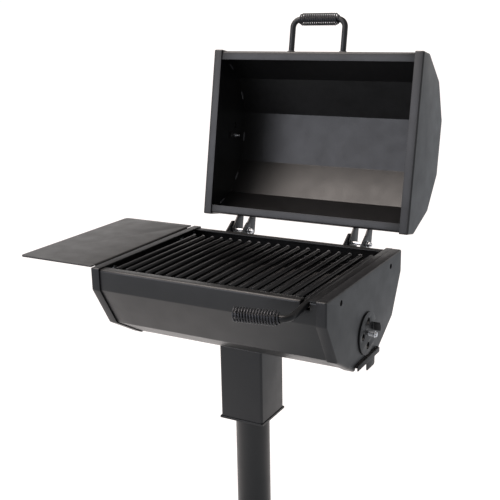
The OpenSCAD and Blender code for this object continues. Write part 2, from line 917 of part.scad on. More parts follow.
module lid_end_left() {
    color("#46494e")
        difference() {
            drawn_as_lid() end_pan(lid_wall, lid_half);
            at_vent() translate([-sheet, 0, 0]) damper_holes();
        }
}

module lid_end_right() {
    color("#46494e") drawn_as_lid() mirror([1, 0, 0]) end_pan(lid_wall, lid_half);
}

// The handle lies level in front of the shut lid: two legs, two bends and the grip's bar
module at_handle() {
    on_lid() translate([0, -wall_y, rim_gap + lid_wall / 2]) children();
}

module lid_handle() {
    leg = handle_spread / 2;
    color("#333437")
        at_handle() {
            translate([0, -handle_reach, 0]) rod_x(handle_d, handle_bend - leg, leg - handle_bend);
            for (side = [0, 1]) mirror([side, 0, 0]) {
                translate([leg, 0, 0]) rod_y(handle_d, handle_bend - handle_reach, 0);
                translate([leg - handle_bend, handle_bend - handle_reach, 0])
                    rotate([0, 0, -90]) bar_bend(handle_bend, 90);
            }
        }
}

module lid_grip() {
    color("#1c1c1e")
        at_handle()
            translate([-lid_grip_turns * grip_pitch / 2, -handle_reach, 0])
                rotate([0, 90, 0]) spring(lid_grip_path, grip_wire);
}

base_plate();
post_pipe();
post_cap();
sleeve();
sleeve_bearing();
sleeve_guides();
firebox_shell();
firebox_end_left();
firebox_end_right();
grate_rails();
grate_keepers();
firebox_ears();
hinge_bolts();
hinge_washers();
hinge_nuts();
shelf();
shelf_bolts();
shelf_nuts();
draft_bolt();
draft_spring();
draft_washer();
draft_nut();
draft_disc();
ash_tray();
grate_bars();
grate_rods();
grate_handle_bar();
grate_grip();
lid_shell();
lid_end_left();
lid_end_right();
lid_ears();
lid_handle();
lid_grip();
vent_bolt();
vent_spring();
vent_washer();
vent_nut();
vent_disc();
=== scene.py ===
"""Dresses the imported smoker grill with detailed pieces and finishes, and sets its camera, light and floor."""

from __future__ import annotations

import json
import logging
import math
from collections.abc import Callable, Sequence
from dataclasses import asdict, dataclass, field
from enum import Enum

import bpy
import bmesh
from mathutils import Matrix, Vector
from mathutils.geometry import tessellate_polygon

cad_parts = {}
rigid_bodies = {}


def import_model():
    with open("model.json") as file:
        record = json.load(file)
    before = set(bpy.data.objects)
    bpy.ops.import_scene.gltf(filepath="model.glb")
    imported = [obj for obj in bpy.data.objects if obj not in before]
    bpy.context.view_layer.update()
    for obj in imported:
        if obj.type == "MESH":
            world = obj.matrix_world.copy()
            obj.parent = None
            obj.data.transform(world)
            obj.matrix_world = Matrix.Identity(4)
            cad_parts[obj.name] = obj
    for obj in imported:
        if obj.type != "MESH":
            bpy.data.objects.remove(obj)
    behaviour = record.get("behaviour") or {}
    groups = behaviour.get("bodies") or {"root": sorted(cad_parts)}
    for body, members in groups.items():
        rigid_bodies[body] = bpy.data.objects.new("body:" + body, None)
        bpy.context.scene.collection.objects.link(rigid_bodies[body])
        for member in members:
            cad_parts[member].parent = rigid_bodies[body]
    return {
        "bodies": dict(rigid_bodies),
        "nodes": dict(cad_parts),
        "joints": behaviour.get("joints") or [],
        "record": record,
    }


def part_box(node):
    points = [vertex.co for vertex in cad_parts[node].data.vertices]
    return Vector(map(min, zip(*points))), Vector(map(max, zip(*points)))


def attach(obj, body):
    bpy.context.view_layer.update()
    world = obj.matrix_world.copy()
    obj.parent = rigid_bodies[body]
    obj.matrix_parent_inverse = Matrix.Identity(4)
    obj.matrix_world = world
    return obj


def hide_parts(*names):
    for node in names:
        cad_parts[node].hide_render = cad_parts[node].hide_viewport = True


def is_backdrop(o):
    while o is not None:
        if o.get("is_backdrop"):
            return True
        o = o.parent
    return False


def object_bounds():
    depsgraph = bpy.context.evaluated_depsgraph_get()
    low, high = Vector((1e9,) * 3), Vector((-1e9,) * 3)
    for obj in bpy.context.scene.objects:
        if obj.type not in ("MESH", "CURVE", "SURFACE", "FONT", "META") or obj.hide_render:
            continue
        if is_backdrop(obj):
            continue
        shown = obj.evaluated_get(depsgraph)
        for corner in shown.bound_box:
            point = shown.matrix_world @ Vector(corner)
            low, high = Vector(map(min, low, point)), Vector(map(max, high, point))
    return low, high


log = logging.getLogger("smoker_grill")
MM = 0.001
Loop = list[Vector]
Pair = tuple[float, float]
Triple = tuple[float, float, float]
Profile = list[Pair]
Socket = bpy.types.NodeSocket
UP = Vector((0, 0, 1))
MIRROR_X = (1, 0, 0)


@dataclass(frozen=True)
class Plan:
    """Sizes that several pieces share with the CAD model, in metres."""

    rim: float = 0.865
    half: float = 0.316
    depth: float = 0.476
    sheet: float = 3.4 * MM
    upper: float = 0.120
    lower: float = 0.118
    fold: float = math.radians(30)
    flange: float = 25 * MM
    lip: float = 28 * MM
    box_wall: float = 57 * MM
    lid_wall: float = 50 * MM
    lid_relief: float = 2 * MM
    rim_gap: float = 0.5 * MM
    lid_open: float = 101.0
    pin_back: float = 39 * MM
    pin_drop: float = 8 * MM
    hinge_at: float = 0.180
    bar: float = 12.7 * MM
    handle: float = 15.9 * MM
    damper_offset: float = 0.148
    air_circle: float = 31 * MM
    air_hole: float = 9 * MM
    damper_hole: float = 3.3 * MM
    shelf_bolt_y: float = 0.158
    shelf_bolt_z: float = -24 * MM
    bolt_hole: float = 6.5 * MM
    bar_z: float = -10 * MM
    rod_z: float = -22.8 * MM
    front_rod: float = 0.185
    back_rod: float = 0.152
    handle_x: float = 0.2635
    handle_z: float = -8.4 * MM
    grip: float = 15.25 * MM
    grip_end: float = 10.3 * MM
    grip_pitch: float = 6.5 * MM

    @property
    def wall_y(self) -> float:
        """Y of the upright walls' outer faces."""
        return self.depth / 2 - self.sheet

    @property
    def pin_y(self) -> float:
        """Y of the hinge pins."""
        return self.wall_y + self.pin_back

    @property
    def lid_half(self) -> float:
        """Half the length of the lid."""
        return self.half - self.lid_relief


PLAN = Plan()


def shift(x: float, y: float, z: float) -> Matrix:
    """A move by x, y and z."""
    return Matrix.Translation((x, y, z))


def turn(degrees: float, axis: str) -> Matrix:
    """A turn about X, Y or Z."""
    return Matrix.Rotation(math.radians(degrees), 4, axis)


def flip(axis: Sequence[float]) -> Matrix:
    """A mirror image along an axis."""
    return Matrix.Scale(-1, 4, Vector(axis))


HEAD = shift(0, 0, PLAN.rim)
PIN = shift(0, PLAN.pin_y, -PLAN.pin_drop)
LID = HEAD @ PIN @ turn(-PLAN.lid_open, "X") @ PIN.inverted()
LID_FORM = LID @ shift(0, 0, PLAN.rim_gap) @ flip(UP)
LID_HANDLE = LID @ shift(0, -PLAN.wall_y, PLAN.rim_gap + PLAN.lid_wall / 2)
DRAFT = HEAD @ shift(PLAN.half, 0, -PLAN.damper_offset)
VENT = LID @ shift(-PLAN.lid_half, 0, PLAN.rim_gap + PLAN.damper_offset) @ flip(MIRROR_X)
# Maps a drawing in (u, v) with its thickness along w to (w, u, v)
UPRIGHT = Matrix(((0, 0, 1, 0), (1, 0, 0, 0), (0, 1, 0, 0), (0, 0, 0, 1)))


# Drawing in two dimensions


def arc(radius: float, first: float, last: float, steps: int) -> Loop:
    """Points on an arc about the origin, both ends included."""
    angles = (first + (last - first) * k / steps for k in range(steps + 1))
    return [Vector((radius * math.cos(a), radius * math.sin(a))) for a in angles]


def circle(radius: float, count: int, centre: Sequence[float] = (0, 0)) -> Loop:
    """A circle as a counter-clockwise loop."""
    return [Vector(centre) + p for p in arc(radius, 0.0, math.tau, count)[:-1]]


def fillet(
    points: Sequence[Sequence[float]], radii: Sequence[float], steps: int, closed: bool = True,
) -> Loop:
    """Rounds the corners of a polyline.

    Args:
        points: the corners, as pairs.
        radii: the radius at each corner; 0 leaves it sharp.
        steps: parts that each arc is made of.
        closed: whether the last point joins the first.

    Returns:
        The rounded polyline as two-dimensional vectors.
    """
    corners = [Vector(p) for p in points]
    last = len(corners) - 1
    out: Loop = []
    for i, (corner, radius) in enumerate(zip(corners, radii)):
        if radius <= 0 or (not closed and i in (0, last)):
            out.append(corner)
            continue
        back = (corners[i - 1] - corner).normalized()
        ahead = (corners[(i + 1) % (last + 1)] - corner).normalized()
        half = back.angle(ahead) / 2
        centre = corner + (back + ahead).normalized() * radius / math.sin(half)
        start = corner + back * radius / math.tan(half) - centre
        end = corner + ahead * radius / math.tan(half) - centre
        first = math.atan2(start.y, start.x)
        sweep = (math.atan2(end.y, end.x) - first + math.pi) % math.tau - math.pi
        out += [centre + p for p in arc(radius, first, first + sweep, steps)]
    return out


def rectangle(low: Sequence[float], high: Sequence[float], radius: float = 0.0, steps: int = 6) -> Loop:
    """A rectangle between two corners, with its corners rounded."""
    (x0, y0), (x1, y1) = low, high
    return fillet([(x0, y0), (x1, y0), (x1, y1), (x0, y1)], [radius] * 4, steps)


def mirrored(points: Loop) -> Loop:
    """Points followed by their mirror images, as one line from end to end."""
    return points + [Vector((-p.x, p.y)) for p in reversed(points)]


def at_level(loop: Loop, z: float) -> Loop:
    """A flat loop at a height."""
    return [Vector((p.x, p.y, z)) for p in loop]


def area_of(loop: Loop) -> float:
    """Signed area of a loop; positive if it runs counter-clockwise."""
    return sum(a.x * b.y - b.x * a.y for a, b in zip(loop, loop[1:] + loop[:1])) / 2


def inset(loop: Loop, distance: float) -> Loop:
    """Moves a counter-clockwise loop inwards, or a clockwise one outwards, by a distance.

    Args:
        loop: the loop.
        distance: how far it moves.

    Returns:
        The moved loop.
    """
    least = 0.5  # keeps the points of sharp corners from running away
    out: Loop = []
    for i, point in enumerate(loop):
        before = (point - loop[i - 1]).normalized()
        after = (loop[(i + 1) % len(loop)] - point).normalized()
        a, b = Vector((-before.y, before.x)), Vector((-after.y, after.x))
        middle = (a + b).normalized()
        out.append(point + middle * distance / max(least, middle.dot(a)))
    return out


# Solids

# A rounded corner, as shares of its chamfer along the axis and off the radius
CORNER = ((0.0, 1.0), (0.3, 0.3), (1.0, 0.0))
EDGE_STEPS = 2
CORNER_STEPS = 8
# Points round a damper's bolt hole, round another bolt hole and round an air hole
SMALL_HOLE, BOLT_HOLE, AIR_HOLE = 24, 32, 36
# Points round the cutters for bolt holes and air holes
BOLT_CUTTER, AIR_CUTTER = 36, 40
WASHER_SIDES = 40
HEX_POINTS = 48
HEX_STEPS = 4
HEX_SLOPE = math.radians(30)
# Radii at which a hexagon's chamfer begins and ends, as shares of half its width
HEX_FACE, HEX_CORNER = 0.95, 1.16


@dataclass
class Solid:
    """A closed mesh as plain lists of points and faces, in metres."""

    points: list[Vector] = field(default_factory=list)
    faces: list[tuple[int, ...]] = field(default_factory=list)

    def __add__(self, other: Solid) -> Solid:
        """Both solids as one list."""
        n = len(self.points)
        return Solid(self.points + other.points, self.faces + [tuple(i + n for i in f) for f in other.faces])

    def placed(self, matrix: Matrix) -> Solid:
        """The solid moved by a matrix, with its faces turned outwards again after a mirror image."""
        faces = self.faces if matrix.determinant() > 0 else [f[::-1] for f in self.faces]
        return Solid([matrix @ p for p in self.points], list(faces))

    def mesh(self, name: str) -> bpy.types.Mesh:
        """A mesh of the solid, with its faces turned outwards.

        Args:
            name: name of the new mesh.

        Returns:
            The mesh.
        """
        mesh = bpy.data.meshes.new(name)
        mesh.from_pydata([tuple(p) for p in self.points], [], self.faces)
        bm = bmesh.new()
        bm.from_mesh(mesh)
        bmesh.ops.recalc_face_normals(bm, faces=bm.faces)
        bm.to_mesh(mesh)
        bm.free()
        return mesh


def loft(rings: Sequence[Sequence[Vector]], wrap: bool = False) -> Solid:
    """Skins a row of closed rings that have equally many points.

    Args:
        rings: the rings in order.
        wrap: whether the last ring joins the first; if not, both ends get a cap.

    Returns:
        The skinned solid.
    """
    n, count = len(rings[0]), len(rings)
    faces: list[tuple[int, ...]] = []
    for r in range(count if wrap else count - 1):
        a, b = r * n, ((r + 1) % count) * n
        faces += [(a + i, a + (i + 1) % n, b + (i + 1) % n, b + i) for i in range(n)]
    if not wrap:
        faces += [tuple(range(n))[::-1], tuple(range((count - 1) * n, count * n))]
    return Solid([Vector(p) for ring in rings for p in ring], faces)


def spin(x: float, radius: float, count: int) -> Loop:
    """A ring of points about the X axis."""
    return [Vector((x, *p)) for p in circle(radius, count)]


def lathe(profile: Profile, count: int = 48, wrap: bool = False) -> Solid:
    """Turns a profile of (x, radius) pairs about the X axis."""
    return loft([spin(x, radius, count) for x, radius in profile], wrap)


def barrel(radius: float, start: float, end: float, chamfer: float) -> Profile:
    """Profile of the outside of a round bar with chamfered ends."""
    near = [(start + chamfer * a, radius - chamfer * b) for a, b in CORNER]
    return near + [(end - chamfer * a, radius - chamfer * b) for a, b in reversed(CORNER)]


def wall_section(outer: float, inner: float, start: float, end: float, edge: float) -> Profile:
    """Section of a tube's wall as (level, radius) pairs, with chamfered corners."""
    outside = [(start, outer - edge), (start + edge, outer), (end - edge, outer), (end, outer - edge)]
    return outside + [(end, inner + edge), (end - edge, inner), (start + edge, inner), (start, inner + edge)]


def rod(radius: float, start: float, end: float, chamfer: float = 0.6 * MM, count: int = 32) -> Solid:
    """A round bar along X with chamfered ends."""
    return lathe(barrel(radius, start, end, chamfer), count)


def washer(outer: float, inner: float, start: float, end: float, edge: float = 0.4 * MM) -> Solid:
    """A flat ring about X with rounded edges."""
    e = edge / 2
    bore = [(end, inner + e), (end - e, inner), (start + e, inner), (start, inner + e)]
    return lathe(barrel(outer, start, end, edge) + bore, WASHER_SIDES, wrap=True)


def hexagon(across: float, start: float, end: float, bore: float = 0.0, both: bool = True) -> Solid:
    """A hexagonal head or nut about X with chamfered corners.

    Args:
        across: width across the flats.
        start: X of the face towards the clamped parts.
        end: X of the free face.
        bore: radius of the hole; 0 makes a closed head.
        both: whether both faces are chamfered.

    Returns:
        The head or nut.
    """
    flat = across / 2

    def ring(x: float, limit: float) -> Loop:
        """The hexagon at x, cut off at a radius.

        Args:
            x: the ring's place.
            limit: the radius.

        Returns:
            The ring's points.
        """
        out = []
        for i in range(HEX_POINTS):
            angle = math.tau * i / HEX_POINTS
            off = (angle + math.pi / 6) % (math.pi / 3) - math.pi / 6
            radius = min(flat / math.cos(off), limit)
            out.append(Vector((x, radius * math.cos(angle), radius * math.sin(angle))))
        return out

    sign = 1 if end > start else -1
    face, corner = flat * HEX_FACE, flat * HEX_CORNER
    depth, last = (corner - face) * math.tan(HEX_SLOPE), HEX_STEPS
    steps = [(face + (corner - face) * k / last, depth * k / last) for k in range(last + 1)]
    rings = [ring(start + sign * d, limit) for limit, d in steps] if both else [ring(start, corner)]
    rings += [ring(end - sign * d, limit) for limit, d in reversed(steps)]
    if bore <= 0:
        return loft([spin(start, flat / 2, HEX_POINTS), *rings, spin(end, flat / 2, HEX_POINTS)])
    cut = 0.5 * MM
    inside = ((end, bore + cut), (end - sign * cut, bore), (start + sign * cut, bore), (start, bore + cut))
    return loft(rings + [spin(x, radius, HEX_POINTS) for x, radius in inside], wrap=True)


def plate(outer: Loop, holes: Sequence[Loop], thick: float, edge: float = 0.5 * MM) -> Solid:
    """A flat plate in the X-Y plane, from Z 0 up, with softened edges.

    Args:
        outer: the outline.
        holes: the outlines of the holes.
        thick: the thickness.
        edge: how far the edges are rounded.

    Returns:
        The plate.
    """
    loops = [outer if area_of(outer) > 0 else outer[::-1]]
    loops += [hole if area_of(hole) < 0 else hole[::-1] for hole in holes]
    layers = [(edge - p.y, edge - p.x) for p in arc(edge, 0.0, math.pi / 2, EDGE_STEPS)]
    layers += [(off, thick - z) for off, z in reversed(layers)]
    total = sum(len(loop) for loop in loops)
    out = Solid()
    for off, z in layers:
        for loop in loops:
            out.points += at_level(inset(loop, off), z)
    for layer in range(len(layers) - 1):
        first = layer * total
        for loop in loops:
            n = len(loop)
            sides = [(first + i, first + (i + 1) % n) for i in range(n)]
            out.faces += [(a, b, b + total, a + total) for a, b in sides]
            first += n
    cap = tessellate_polygon([at_level(inset(loop, edge), 0.0) for loop in loops])
    top = (len(layers) - 1) * total
    for a, b, c in cap:
        pa, pb, pc = out.points[a], out.points[b], out.points[c]
        if (pb - pa).cross(pc - pa).z < 0:
            b, c = c, b
        out.faces += [(c, b, a), (top + a, top + b, top + c)]
    return out


def bent(
    solid: Solid, start: float, inner: float, thick: float, reach: Callable[[Vector], bool], steps: int = 8,
) -> Solid:
    """Bends a plate that lies on the X-Y plane up to +Z, by a right angle about a line along Y.

    Args:
        solid: the plate.
        start: X at which the bend begins.
        inner: inside radius of the bend.
        thick: thickness of the plate.
        reach: tells whether a point belongs to the part that bends.
        steps: parts that the bend is made of.

    Returns:
        The bent plate.
    """
    angle, tolerance = math.pi / 2, 1e-7
    middle = inner + thick / 2
    bm = bmesh.new()
    mesh = solid.mesh("bend")
    bm.from_mesh(mesh)
    for k in range(steps + 1):
        bmesh.ops.bisect_plane(
            bm, geom=bm.verts[:] + bm.edges[:] + bm.faces[:], dist=tolerance,
            plane_co=(start + middle * angle * k / steps, 0, 0), plane_no=(1, 0, 0),
        )
    low = min(v.co.z for v in bm.verts)
    for v in bm.verts:
        along = v.co.x - start
        if along <= 0 or not reach(v.co):
            continue
        turned = min(along / middle, angle)
        over = along - turned * middle
        radius = inner + thick - (v.co.z - low)
        v.co.x = start + radius * math.sin(turned) + over * math.cos(turned)
        v.co.z = low + thick + inner - radius * math.cos(turned) + over * math.sin(turned)
    bm.verts.index_update()
    out = Solid([v.co.copy() for v in bm.verts], [tuple(v.index for v in f.verts) for f in bm.faces])
    bm.free()
    bpy.data.meshes.remove(mesh)
    return out


def around(centre: Vector, radius: float, side: Vector, up: Vector, count: int) -> Loop:
    """A ring of points about a centre, in the plane of two directions."""
    return [centre + p.x * side + p.y * up for p in circle(radius, count)]


def tube(path: Sequence[Vector], radius: float, chamfer: float = 0.8 * MM, count: int = 24) -> Solid:
    """A round bar along a path, with chamfered ends.

    Args:
        path: the bar's middle line.
        radius: the bar's radius.
        chamfer: the chamfer of both ends.
        count: points of each ring.

    Returns:
        The bar.
    """
    last = len(path) - 1
    first_end = [(chamfer * a, chamfer * b) for a, b in CORNER]
    ends = {0: first_end, last: [(-along, off) for along, off in reversed(first_end)]}
    side = (path[1] - path[0]).orthogonal()
    rings: list[Loop] = []
    for i, point in enumerate(path):
        lead = (path[min(i + 1, last)] - path[max(i - 1, 0)]).normalized()
        side = (side - lead * side.dot(lead)).normalized()
        up = lead.cross(side)
        for along, off in ends.get(i, [(0.0, 0.0)]):
            rings.append(around(point + lead * along, radius - off, side, up, count))
    return loft(rings)


def ring_line(centre: Vector, radius: float, axis: Vector, count: int = 40) -> Loop:
    """A closed line round an axis, for a weld bead."""
    side = axis.orthogonal().normalized()
    ring = around(centre, radius, side, axis.normalized().cross(side), count)
    return ring + ring[:1]


def box(low: Sequence[float], high: Sequence[float]) -> Solid:
    """A cutter with six plane sides between two corners."""
    outline = rectangle(low[:2], high[:2])
    return loft([at_level(outline, low[2]), at_level(outline, high[2])])


# Modifiers

Setting = tuple[str, dict[str, object]]
BEVEL_STEPS = 2
SHARP_ANGLE = 40.0
KEPT_ANGLE = 50.0
KEPT_WIDTH = 0.8 * MM
KEPT_MERGE = 0.01 * MM


def bevel(width: float, degrees: float, miter: str) -> Setting:
    """Settings of a bevel modifier that rounds the edges sharper than an angle.

    Args:
        width: how far the edges are rounded.
        degrees: the least angle of an edge that is rounded.
        miter: how the bevels meet at outer corners.

    Returns:
        The modifier's kind and its settings.
    """
    angle = math.radians(degrees)
    return "BEVEL", {
        "width": width, "segments": BEVEL_STEPS, "limit_method": "ANGLE", "angle_limit": angle,
        "miter_outer": miter,
    }


def give(obj: bpy.types.Object, settings: Sequence[Setting]) -> None:
    """Gives an object a row of modifiers.

    Args:
        obj: the object.
        settings: kind and settings of each modifier, in order.
    """
    for kind, values in settings:
        modifier = obj.modifiers.new(kind.title(), kind)
        for name, value in values.items():
            setattr(modifier, name, value)


def evaluated(obj: bpy.types.Object, name: str) -> bpy.types.Mesh:
    """The mesh that an object's modifiers make; the object and its own mesh are removed.

    Args:
        obj: the object.
        name: name of the new mesh.

    Returns:
        The new mesh.
    """
    bpy.context.scene.collection.objects.link(obj)
    graph = bpy.context.evaluated_depsgraph_get()
    out = bpy.data.meshes.new_from_object(obj.evaluated_get(graph))
    bpy.data.meshes.remove(obj.data)
    out.name = name
    return out


def carved(mesh: bpy.types.Mesh, cutters: Solid) -> bpy.types.Mesh:
    """A mesh with the cutters taken out of it.

    Args:
        mesh: the mesh, removed afterwards.
        cutters: what is taken out.

    Returns:
        The new mesh.
    """
    tool = bpy.data.objects.new("cutters", cutters.mesh("cutters"))
    bpy.context.scene.collection.objects.link(tool)
    obj = bpy.data.objects.new("work", mesh)
    give(obj, [("BOOLEAN", {"object": tool, "operation": "DIFFERENCE", "solver": "EXACT", "use_self": True})])
    out = evaluated(obj, mesh.name)
    bpy.data.meshes.remove(tool.data)
    return out


def softened(mesh: bpy.types.Mesh, width: float = 0.6 * MM) -> bpy.types.Mesh:
    """A mesh with its sharp edges rounded.

    Args:
        mesh: the mesh, removed afterwards.
        width: how far the edges are rounded.

    Returns:
        The new mesh.
    """
    obj = bpy.data.objects.new("work", mesh)
    give(obj, [bevel(width, SHARP_ANGLE, "MITER_ARC")])
    return evaluated(obj, mesh.name)


# Node trees


class Nodes:
    """A node tree under construction."""

    def __init__(self, tree: bpy.types.NodeTree) -> None:
        """Takes a tree and empties it."""
        self.tree = tree
        self.tree.nodes.clear()

    def node(
        self, kind: str, inputs: dict[str | int, object] | None = None, **settings: object,
    ) -> bpy.types.Node:
        """Adds a node.

        Args:
            kind: the node's type.
            inputs: a value or a socket for each input, by name or number.
            settings: the node's own settings.

        Returns:
            The node.
        """
        node = self.tree.nodes.new(kind)
        for name, value in settings.items():
            setattr(node, name, value)
        for key, value in (inputs or {}).items():
            if isinstance(value, Socket):
                self.tree.links.new(value, node.inputs[key])
            else:
                node.inputs[key].default_value = value
        return node

    def math(self, operation: str, a: object, b: object = 0.0, c: object = 0.0) -> Socket:
        """The result of a Math node."""
        return self.node("ShaderNodeMath", {0: a, 1: b, 2: c}, operation=operation).outputs[0]

    def mapped(
        self, value: Socket, source: Sequence[object], target: Pair = (0.0, 1.0), smooth: bool = False,
    ) -> Socket:
        """A value mapped from one range to another and kept within it.

        Args:
            value: the value.
            source: the range that it comes from.
            target: the range that it goes to.
            smooth: whether it leaves and reaches the ends softly.

        Returns:
            The mapped value.
        """
        labels = ("From Min", "From Max", "To Min", "To Max")
        inputs = {"Value": value, **dict(zip(labels, (*source, *target)))}
        kind = "SMOOTHSTEP" if smooth else "LINEAR"
        return self.node("ShaderNodeMapRange", inputs, interpolation_type=kind).outputs[0]

    def mix(self, factor: Socket, a: Socket | Triple, b: Socket | Triple) -> Socket:
        """A mixture of two colours, by the numbers of the node's colour sockets."""
        first, second = (value if isinstance(value, Socket) else (*value, 1.0) for value in (a, b))
        return self.node("ShaderNodeMix", {0: factor, 6: first, 7: second}, data_type="RGBA").outputs[2]

    def ramp(self, value: Socket, stops: Sequence[tuple[float, Triple]]) -> Socket:
        """A colour from a ramp.

        Args:
            value: the place on the ramp, from 0 to 1.
            stops: place and colour of each stop, in order.

        Returns:
            The colour.
        """
        node = self.node("ShaderNodeValToRGB", {0: value})
        elements = node.color_ramp.elements
        while len(elements) < len(stops):
            elements.new(0.5)
        for element, (at, color) in zip(elements, stops):
            element.position = at
            element.color = (*color, 1.0)
        return node.outputs[0]


# Geometry Nodes


class Growth(Nodes):
    """A Geometry Nodes tree with named inputs, which gives the same result each time."""

    def __init__(self, name: str, inputs: dict[str, tuple[str, float | int | None]]) -> None:
        """Makes the tree with a geometry input and output.

        Args:
            name: the tree's name.
            inputs: each input's socket type, such as Float or Int, and its default.
        """
        super().__init__(bpy.data.node_groups.new(name, "GeometryNodeTree"))
        face = self.tree.interface
        face.new_socket("Geometry", in_out="INPUT", socket_type="NodeSocketGeometry")
        self.ids: dict[str, str] = {}
        for label, (kind, default) in inputs.items():
            socket = face.new_socket(label, in_out="INPUT", socket_type=f"NodeSocket{kind}")
            if default is not None:
                socket.default_value = default
            self.ids[label] = socket.identifier
        face.new_socket("Geometry", in_out="OUTPUT", socket_type="NodeSocketGeometry")
        self.given = self.node("NodeGroupInput").outputs

    def finish(self, geometry: Socket) -> None:
        """Ends the tree in Realize Instances and Set Material.

        Args:
            geometry: what the tree has made.
        """
        real = self.node("GeometryNodeRealizeInstances", {"Geometry": geometry})
        smooth = self.node("GeometryNodeSetShadeSmooth", {"Geometry": real.outputs[0], "Shade Smooth": True})
        inputs = {"Geometry": smooth.outputs[0], "Material": self.given["Material"]}
        self.node("NodeGroupOutput", {0: self.node("GeometryNodeSetMaterial", inputs).outputs[0]})

    def grow(self, name: str, base: bpy.types.Mesh | None, values: dict[str, object]) -> bpy.types.Mesh:
        """Runs the tree on a mesh and returns what it makes as a plain mesh.

        Args:
            name: name of the new mesh.
            base: the mesh that the tree starts from, removed afterwards; none for an empty one.
            values: the tree's inputs by name.

        Returns:
            The new mesh.
        """
        obj = bpy.data.objects.new("growth", base or bpy.data.meshes.new("seed"))
        modifier = obj.modifiers.new("Growth", "NODES")
        modifier.node_group = self.tree
        for label, value in values.items():
            modifier[self.ids[label]] = value
        return evaluated(obj, name)


def coil_tree() -> Growth:
    """A wire wound round Z, with a radius of its own at both ends. It also makes screw threads.

    Returns:
        The tree.
    """
    tree = Growth("coil", {
        "Turns": ("Float", 10.0), "Pitch": ("Float", 6.5 * MM), "Radius": ("Float", 13.5 * MM),
        "First": ("Float", 9.4 * MM), "Last": ("Float", 9.4 * MM), "Taper": ("Float", 1.5),
        "Wire": ("Float", 4 * MM), "Rings": ("Int", 32), "Sides": ("Int", 14), "Material": ("Material", None),
    })
    turns, wide, pitch = (tree.given[label] for label in ("Turns", "Radius", "Pitch"))
    top = tree.node("ShaderNodeCombineXYZ", {"Z": tree.math("MULTIPLY", turns, pitch)})
    line = tree.node("GeometryNodeCurvePrimitiveLine", {"End": top.outputs[0]})
    count = tree.math("MULTIPLY_ADD", turns, tree.given["Rings"], 1.0)
    dense = tree.node("GeometryNodeResampleCurve", {"Curve": line.outputs[0], "Count": count})
    at = tree.math("MULTIPLY", tree.node("GeometryNodeSplineParameter").outputs["Factor"], turns)
    radius = wide
    for distance, end in ((at, "First"), (tree.math("SUBTRACT", turns, at), "Last")):
        near = tree.mapped(distance, (0.0, tree.given["Taper"]), (1.0, 0.0), smooth=True)
        closing = tree.math("MULTIPLY", near, tree.math("SUBTRACT", wide, tree.given[end]))
        radius = tree.math("SUBTRACT", radius, closing)
    angle = tree.math("MULTIPLY", at, math.tau)
    place = tree.node("ShaderNodeCombineXYZ", {
        "X": tree.math("MULTIPLY", radius, tree.math("COSINE", angle)),
        "Y": tree.math("MULTIPLY", radius, tree.math("SINE", angle)),
        "Z": tree.math("MULTIPLY", at, pitch),
    })
    wound = tree.node("GeometryNodeSetPosition", {"Geometry": dense.outputs[0], "Position": place.outputs[0]})
    half = tree.math("MULTIPLY", tree.given["Wire"], 0.5)
    ring = tree.node("GeometryNodeCurvePrimitiveCircle", {"Resolution": tree.given["Sides"], "Radius": half})
    inputs = {"Curve": wound.outputs[0], "Profile Curve": ring.outputs[0], "Fill Caps": True}
    tree.finish(tree.node("GeometryNodeCurveToMesh", inputs).outputs[0])
    return tree


def bead_tree() -> Growth:
    """A rippled weld bead along every chain of edges of the mesh it is put on.

    Returns:
        The tree.
    """
    tree = Growth("bead", {
        "Radius": ("Float", 2.2 * MM), "Step": ("Float", 0.9 * MM), "Ripple": ("Float", 3.2 * MM),
        "Depth": ("Float", 0.14), "Seed": ("Float", 3.0), "Material": ("Material", None),
    })
    lumps, lump_span, lump_least = 260.0, 0.5, 0.75
    sides, end_share, end_width = 10, 0.05, 0.45
    curve = tree.node("GeometryNodeMeshToCurve", {"Mesh": tree.given["Geometry"]})
    inputs = {"Curve": curve.outputs[0], "Length": tree.given["Step"]}
    dense = tree.node("GeometryNodeResampleCurve", inputs, mode="LENGTH")
    along = tree.node("GeometryNodeSplineParameter").outputs
    phase = tree.math("DIVIDE", tree.math("MULTIPLY", along["Length"], math.tau), tree.given["Ripple"])
    wave = tree.math("MULTIPLY_ADD", tree.math("SINE", phase), tree.given["Depth"], 1.0)
    inputs = {"W": tree.given["Seed"], "Scale": lumps, "Detail": 1.0}
    noise = tree.node("ShaderNodeTexNoise", inputs, noise_dimensions="4D")
    rough = tree.math("MULTIPLY_ADD", noise.outputs[0], lump_span, lump_least)
    ends = tree.math("MULTIPLY", along["Factor"], tree.math("SUBTRACT", 1.0, along["Factor"]))
    thin = tree.mapped(ends, (0.0, end_share), (end_width, 1.0))
    scale = tree.math("MULTIPLY", tree.math("MULTIPLY", rough, wave), thin)
    inputs = {"Resolution": sides, "Radius": tree.given["Radius"]}
    ring = tree.node("GeometryNodeCurvePrimitiveCircle", inputs)
    bead = tree.node("GeometryNodeCurveToMesh", {
        "Curve": dense.outputs[0], "Profile Curve": ring.outputs[0], "Scale": scale, "Fill Caps": True,
    })
    tree.finish(bead.outputs[0])
    return tree


def row_tree() -> Growth:
    """Repeats the mesh it is put on along a straight row.

    Returns:
        The tree.
    """
    vector, material = ("Vector", None), ("Material", None)
    tree = Growth("row", {"Count": ("Int", 2), "Start": vector, "Step": vector, "Material": material})
    count, start, step = (tree.given[label] for label in ("Count", "Start", "Step"))
    inputs = {"Count": count, "Start Location": start, "Offset": step}
    points = tree.node("GeometryNodeMeshLine", inputs).outputs[0]
    copies = tree.node("GeometryNodeInstanceOnPoints", {"Points": points, "Instance": tree.given["Geometry"]})
    tree.finish(copies.outputs[0])
    return tree


# Finishes

